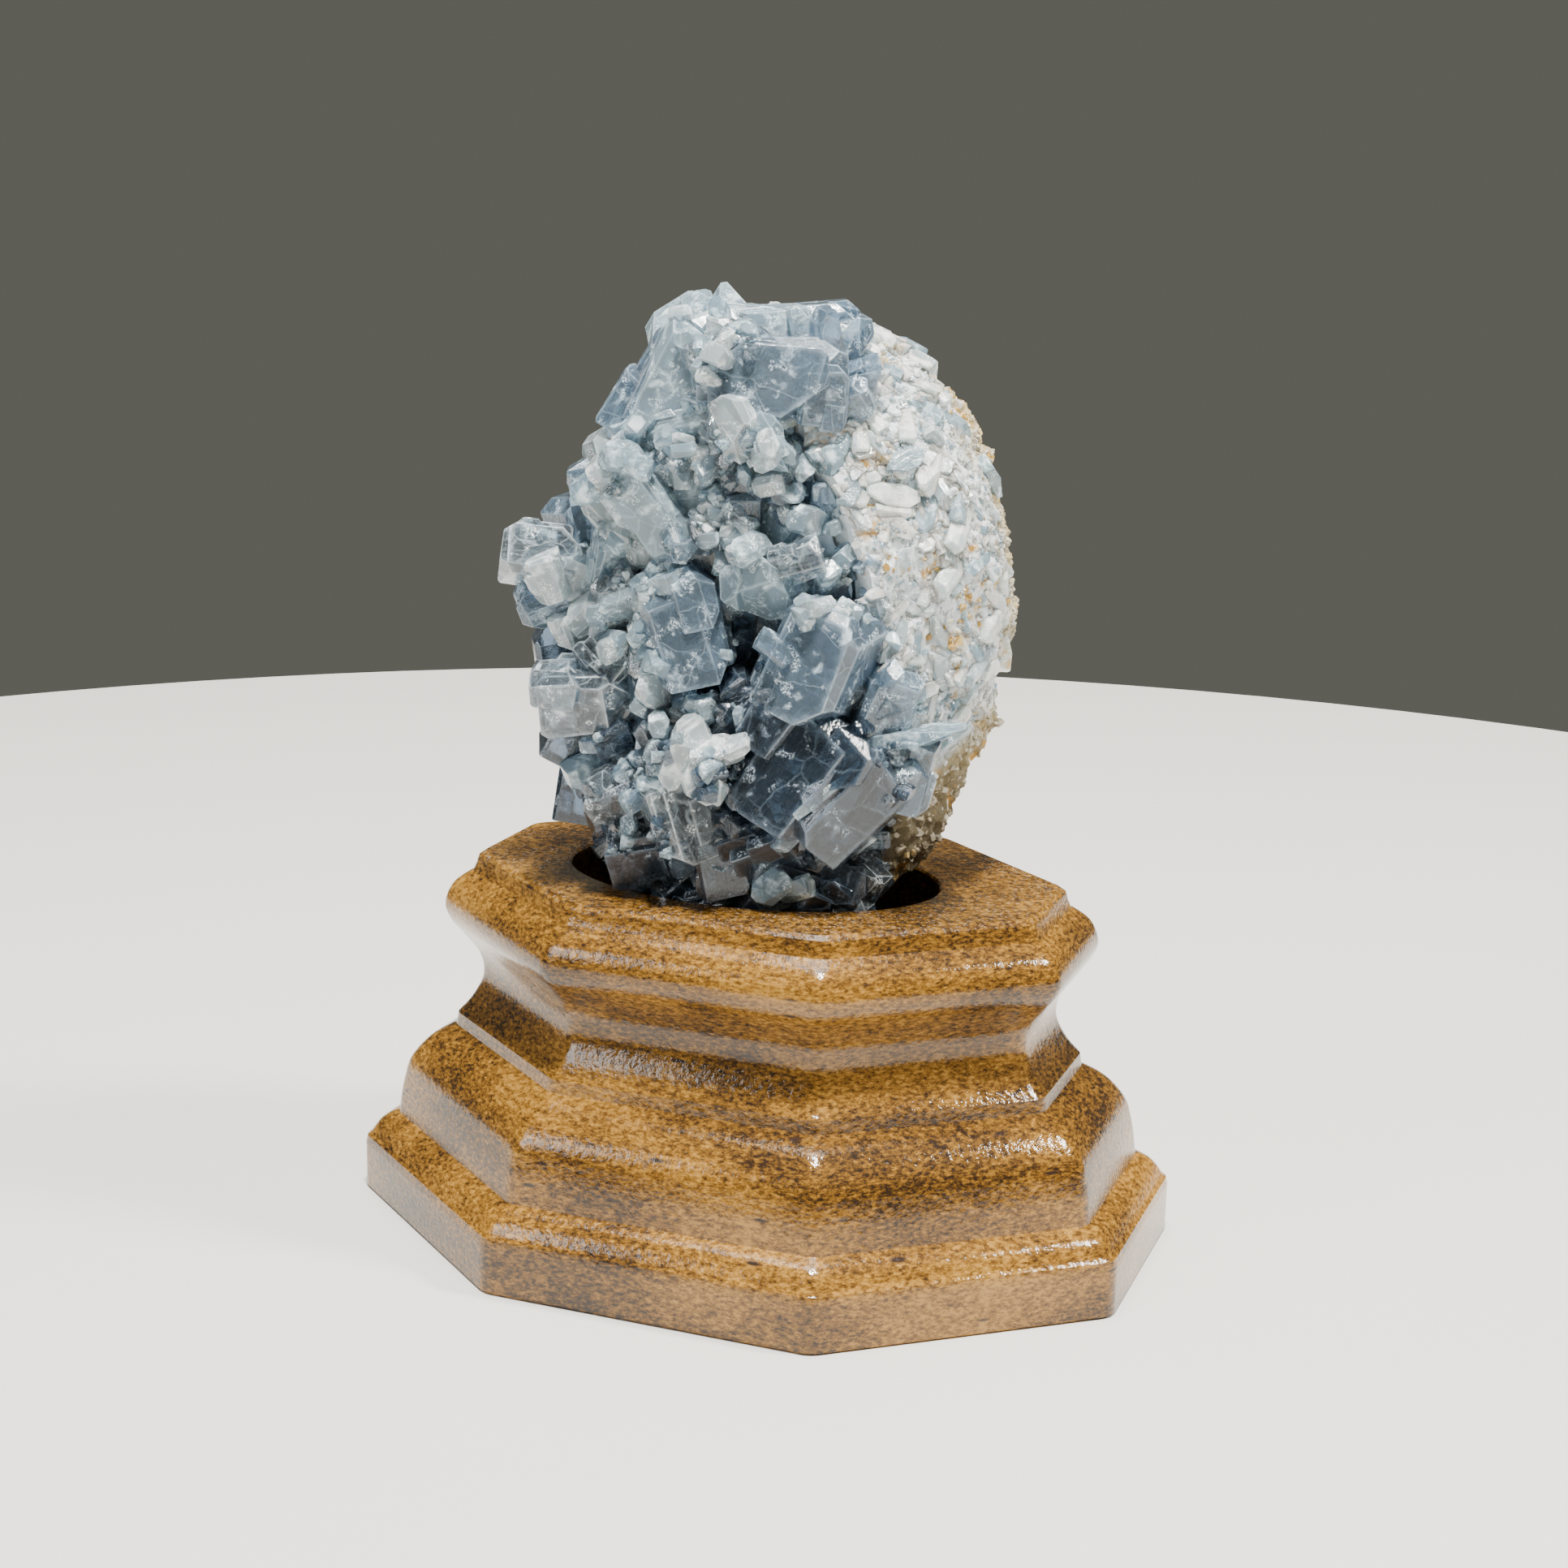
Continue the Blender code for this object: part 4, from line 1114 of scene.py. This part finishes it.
@dataclass
class WallRock:
    """The rounded wall rock with its broken, sugary front."""

    nodule: Nodule
    forms: CrystalForms
    # Each layer: name, how many, sizes in mm, share of long crystals and seed
    layers: tuple = (
        ("wall_crystals", 3850, (0.8, 3.8), 0.03, 23),
        ("wall_sugar", 3850, (0.55, 1.3), 0.0, 29),
    )
    sunk: float = 0.8                    # how far under the nodule's skin they start
    bar_size: tuple = (2.6, 4.8)
    flat_from: float = 2.0               # larger ones lie along the face
    stained_size: float = 1.5            # the largest stained grain
    lowest: float = 57.0
    # Each spot of iron stain: right, up, radius in mm and share of stained grains
    ochre_spots: tuple = (
        (22.7, 103.7, 2.6, 0.75), (24.1, 93.7, 2.2, 0.7), (26.3, 124.4, 2.4, 0.6),
        (9.0, 124.0, 1.8, 0.7), (29.5, 97.0, 4.5, 0.35), (17.0, 104.0, 2.2, 0.35),
    )

    def build(self) -> list[bpy.types.Object]:
        """Build and dress the wall rock.

        Returns:
            The rock, the crystals of its broken face and their sugary crust.
        """
        rock = nodule_mesh("wall_rock", self.nodule, self.sunk, True,
                           RockFinish().material())
        finishes = [finish.material() for finish in CELESTITE_FINISHES]
        pieces = [rock]
        for name, count, sizes, bars, seed in self.layers:
            growth = Growth(name, self.forms)
            self.grow(growth, count, sizes, bars, random.Random(seed))
            pieces.append(growth.finish(finishes))
        for piece in pieces:
            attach(piece, "root")
            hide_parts("matrix")
        return pieces

    def grow(self, growth: Growth, count: int, sizes: tuple, bars: float,
             dice: random.Random) -> None:
        """Grow one layer of crystals on the broken face.

        Args:
            growth: The crystals to add to.
            count: How many.
            sizes: Smallest and largest size in mm.
            bars: Share of long ones that lie along the face.
            dice: Seeded source of places and turns.
        """
        low, high = sizes
        while growth.count < count:
            direction = Vector([dice.gauss(0, 1) for _ in range(3)]).normalized()
            point = self.nodule.point(direction, self.sunk)
            depth = self.nodule.side(point)
            reach = 26 + 12 * dice.random()
            behind = point.y > 14 * dice.random() and dice.random() < 0.93
            if depth < GAP or depth > reach or behind or point.z < self.lowest:
                continue
            if point.z < 76 and point.x > 10 and dice.random() < 0.8:
                continue
            bar = dice.random() < bars
            size = dice.uniform(*self.bar_size) if bar else low + (high - low) * dice.random() ** 5
            clarity = self.look(point, dice)
            if clarity in (RIND, OCHRE):
                size, bar = min(size, self.stained_size), False
            flat = size > self.flat_from
            wander = Vector([dice.uniform(-1, 1) for _ in range(3)])
            axis = (wander.cross(direction) if flat else direction + wander).normalized()
            turn = crystal_turn_along(axis, direction, dice.uniform(-0.5, 0.5))
            form = dice.choice((SHARD, SHARD, RHOMB, BLADE))
            sunk = size * (0.12 if bar else 0.30)
            point += direction * (rock_relief(point, self.nodule, True) - sunk)
            growth.add(form, (size * 0.8, size * 0.6, size * (1.8 if flat else 1.2)), turn,
                       point, clarity, dice)

    def look(self, point: Vector, dice: random.Random) -> Clarity:
        """Choose a grain's look by its place on the face.

        Args:
            point: Its place in the specimen's frame.
            dice: Seeded source of the choice.
        """
        for right, up, radius, share in self.ochre_spots:
            away = math.hypot(point.x - right, point.z - up) + noise.noise(point / 1.5)
            if point.y < 8 and away < radius and dice.random() < share:
                return OCHRE
        if dice.random() < self.nodule.rind(point):
            return RIND
        return dice.choice((SUGARY, SUGARY, SUGARY, WHITE,
                            MILKY))


@dataclass
class Stand:
    """The moulded octagonal stand."""

    half_width: float = 60.0
    half_depth: float = 45.4
    cut_x: float = 35.2
    cut_y: float = 28.1
    softness: float = 1.5
    fine_mm: float = 0.7
    # Runs of the moulding between its sharp edges: inset and height in mm
    runs: tuple = (
        ((0.3, 0.0), (0.0, 0.4), (0.0, 7.5), (0.7, 8.9), (2.4, 11.2), (4.7, 12.3)),
        ((4.8, 13.0), (5.1, 15.5), (5.5, 17.8), (6.5, 21.2), (9.3, 24.6), (12.8, 26.7)),
        ((13.1, 28.6), (15.0, 31.0), (16.6, 34.6), (16.1, 38.2), (13.9, 41.4),
         (12.2, 43.6), (11.4, 46.2), (12.6, 49.3), (15.3, 51.4)),
        ((15.8, 52.6), (16.1, 53.7), (16.9, STAND_TOP)),
    )

    def build(self) -> bpy.types.Object:
        """Build and dress the stand."""
        deselect_everything()
        bpy.ops.mesh.primitive_circle_add(vertices=8, radius=1.0, fill_type="NGON")
        obj = bpy.context.object
        obj.name = obj.data.name = "display_stand"
        levels = self.levels()
        bm = bmesh.new()
        rings = [self.ring(*level) for level in levels]
        first = [bm.verts.new(point) for point in rings[0]]
        bm.faces.new(first)
        edges = list(bm.edges)
        for ring in rings[1:]:
            made = bmesh.ops.extrude_edge_only(bm, edges=edges)["geom"]
            fresh = [item for item in made if isinstance(item, bmesh.types.BMVert)]
            for vert, point in zip(fresh, ring):
                vert.co = point
            chosen = set(fresh)
            edges = [item for item in made if isinstance(item, bmesh.types.BMEdge)
                     and item.verts[0] in chosen and item.verts[1] in chosen]
        bmesh.ops.contextual_create(bm, geom=edges)
        bmesh.ops.recalc_face_normals(bm, faces=bm.faces)
        bm.to_mesh(obj.data)
        bm.free()
        self.cut_recess(obj)
        obj.data.transform(Matrix.Scale(MM, 4))
        deselect_everything()
        obj.select_set(True)
        bpy.context.view_layer.objects.active = obj
        bpy.ops.object.shade_smooth_by_angle(angle=math.radians(28))
        obj.data.materials.clear()
        obj.data.materials.append(FibreboardFinish().material())
        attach(obj, "root")
        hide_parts("stand")
        return obj

    def levels(self) -> list[tuple[float, float]]:
        """Return the moulding's points, smooth along each run."""
        fine = []
        for run in self.runs:
            points = [Vector(point) for point in run]
            padded = [points[0]] + points + [points[-1]]
            for index in range(1, len(points)):
                before, start, end, after = padded[index - 1:index + 3]
                steps = max(1, round((end - start).length / self.fine_mm))
                for step in range(steps):
                    inset, height = catmull(before, start, end, after, step / steps)
                    fine.append((max(inset, 0.0), max(height, 0.0)))
            fine.append(tuple(points[-1]))
        return fine

    def ring(self, inset: float, height: float) -> list[Vector]:
        """Return the stand's plan at one level, with softened corners.

        Args:
            inset: How far in from the plan at the foot.
            height: Height of the level.
        """
        width, depth = self.half_width - inset, self.half_depth - inset
        normal = Vector((self.cut_y, self.cut_x)).normalized()
        reach = normal.dot(Vector((self.half_width, self.half_depth - self.cut_y))) - inset
        side = (reach - normal.x * width) / normal.y
        front = (reach - normal.y * depth) / normal.x
        corners = [Vector(corner) for corner in (
            (width, -side), (width, side), (front, depth), (-front, depth),
            (-width, side), (-width, -side), (-front, -depth), (front, -depth))]
        points = []
        for index, corner in enumerate(corners):
            before = (corners[index - 1] - corner).normalized() * self.softness
            after = (corners[(index + 1) % 8] - corner).normalized() * self.softness
            for share in (0.0, 0.25, 0.5, 0.75, 1.0):
                bend = before * (1 - share) ** 2 + after * share ** 2
                points.append((corner + bend).to_3d() + Vector((0, 0, height)))
        return points

    def cut_recess(self, obj: bpy.types.Object) -> None:
        """Cut the oval recess, with its rim eased.

        Args:
            obj: The stand in millimetres.
        """
        deselect_everything()
        depth = STAND_TOP + 6 - RECESS_FLOOR
        bpy.ops.mesh.primitive_cylinder_add(
            vertices=96, radius=1.0, depth=depth,
            location=(*RECESS_CENTRE, RECESS_FLOOR + depth / 2), scale=(*RECESS_HALF, 1.0))
        cutter = bpy.context.object
        modifier = obj.modifiers.new("recess", "BOOLEAN")
        modifier.operation = "DIFFERENCE"
        modifier.solver = "EXACT"
        modifier.object = cutter
        deselect_everything()
        obj.select_set(True)
        bpy.context.view_layer.objects.active = obj
        bpy.ops.object.modifier_apply(modifier="recess")
        bpy.data.objects.remove(cutter, do_unlink=True)
        bm = bmesh.new()
        bm.from_mesh(obj.data)
        rim = [edge for edge in bm.edges if all(
            abs(vert.co.z - STAND_TOP) < 0.01 and self.on_rim(vert.co) for vert in edge.verts)]
        bmesh.ops.bevel(bm, geom=rim, offset=0.8, segments=3, profile=0.5, affect="EDGES")
        bm.to_mesh(obj.data)
        bm.free()

    @staticmethod
    def on_rim(point: Vector) -> bool:
        """Return whether a point lies on the recess's outline."""
        x = (point.x - RECESS_CENTRE[0]) / RECESS_HALF[0]
        y = (point.y - RECESS_CENTRE[1]) / RECESS_HALF[1]
        return abs(math.hypot(x, y) - 1) < 0.01


def catmull(before: Vector, start: Vector, end: Vector, after: Vector, share: float) -> Vector:
    """Return a point on a smooth curve between start and end.

    Args:
        before: The point before start.
        start: Where the stretch begins.
        end: Where it ends.
        after: The point after end.
        share: How far along, from 0 to 1.
    """
    square, cube = share ** 2, share ** 3
    return 0.5 * (2 * start + (end - before) * share
                  + (2 * before - 5 * start + 4 * end - after) * square
                  + (3 * start - before - 3 * end + after) * cube)


@dataclass
class Studio:
    """The floor, the light and the camera at the photograph's viewpoint."""

    focal_px: float = 3155.0
    pitch: float = math.radians(14.0)
    roll: float = math.radians(1.25)
    distance: float = 369.96
    height: float = 159.66
    right: float = 2.16
    sensor_mm: float = 36.0
    table_radius: float = 0.42
    # Each lamp: name, place and side in metres, watts and colour
    lamps: tuple = (
        ("key", (0.13, -0.27, 1.15), 0.14, 32.0, "#fffcf6"),
        ("right", (0.72, 0.10, 0.85), 0.14, 13.0, "#fffcf6"),
        ("top", (-0.10, 0.10, 1.10), 0.5, 10.0, "#fffcf8"),
        ("left", (-0.62, -0.70, 0.55), 0.4, 4.5, "#f8fbff"),
    )
    surroundings: str = "#6a6a62"
    surroundings_strength: float = 0.80

    def build(self) -> None:
        """Build the studio."""
        self.floor()
        self.camera()
        self.lights()

    def floor(self) -> None:
        """Lay the pale floor."""
        deselect_everything()
        bpy.ops.mesh.primitive_circle_add(vertices=128, radius=self.table_radius,
                                          fill_type="NGON", location=(0, 0, 0))
        plane = bpy.context.object
        plane.name = plane.data.name = "floor"
        plane.data.materials.append(FloorFinish().material())

    def camera(self) -> None:
        """Place the camera."""
        turn = Matrix.Rotation(SPECIMEN_TURN, 3, "Z")
        right = turn @ Vector((1, 0, 0))
        ahead = turn @ Vector((0, math.cos(self.pitch), -math.sin(self.pitch)))
        above = turn @ Vector((0, math.sin(self.pitch), math.cos(self.pitch)))
        cos, sin = math.cos(self.roll), math.sin(self.roll)
        side, top = right * cos + above * sin, above * cos - right * sin
        place = turn @ Vector((self.right, -self.distance, self.height)) * MM
        data = bpy.data.cameras.new("camera")
        data.sensor_width = self.sensor_mm
        data.lens = self.sensor_mm * self.focal_px / IMAGE_SIDE
        data.clip_start = 0.01
        camera = bpy.data.objects.new("camera", data)
        camera.matrix_world = Matrix.Translation(place) @ Matrix(
            (side, top, -ahead)).transposed().to_4x4()
        bpy.context.scene.collection.objects.link(camera)
        bpy.context.scene.camera = camera

    def lights(self) -> None:
        """Hang the lamps and set the surroundings."""
        for lamp in self.lamps:
            self.lamp(*lamp)
        world = bpy.data.worlds.new("surroundings")
        bpy.context.scene.world = world
        world.use_nodes = True
        back = world.node_tree.nodes["Background"]
        back.inputs["Color"].default_value = linear(self.surroundings)
        back.inputs["Strength"].default_value = self.surroundings_strength

    @staticmethod
    def lamp(name: str, place: tuple, size: float, power: float, colour: str) -> None:
        """Hang one soft square lamp that looks at the specimen.

        Args:
            name: Name of the lamp.
            place: Its place in metres.
            size: Its side in metres.
            power: Its power in watts.
            colour: Its hex colour.
        """
        data = bpy.data.lights.new(name, "AREA")
        data.shape = "SQUARE"
        data.size = size
        data.energy = power
        data.color = linear(colour)[:3]
        lamp = bpy.data.objects.new(name, data)
        lamp.location = place
        aim = Vector((0, 0, 0.08)) - Vector(place)
        lamp.rotation_euler = aim.to_track_quat("-Z", "Y").to_euler()
        bpy.context.scene.collection.objects.link(lamp)


def main() -> None:
    """Build the stand, the rock, the crystals and the studio in order."""
    logging.basicConfig(level=logging.INFO, format="%(name)s: %(message)s")
    nodule = Nodule()
    forms = CrystalForms()
    pieces = [Stand().build()]
    pieces += WallRock(nodule, forms).build()
    pieces += CrystalCluster(nodule, forms).build()
    for piece in pieces:
        LOG.info("built %s with %d faces", piece.name, len(piece.data.polygons))
    Studio().build()


if __name__ == "__main__":
    main()
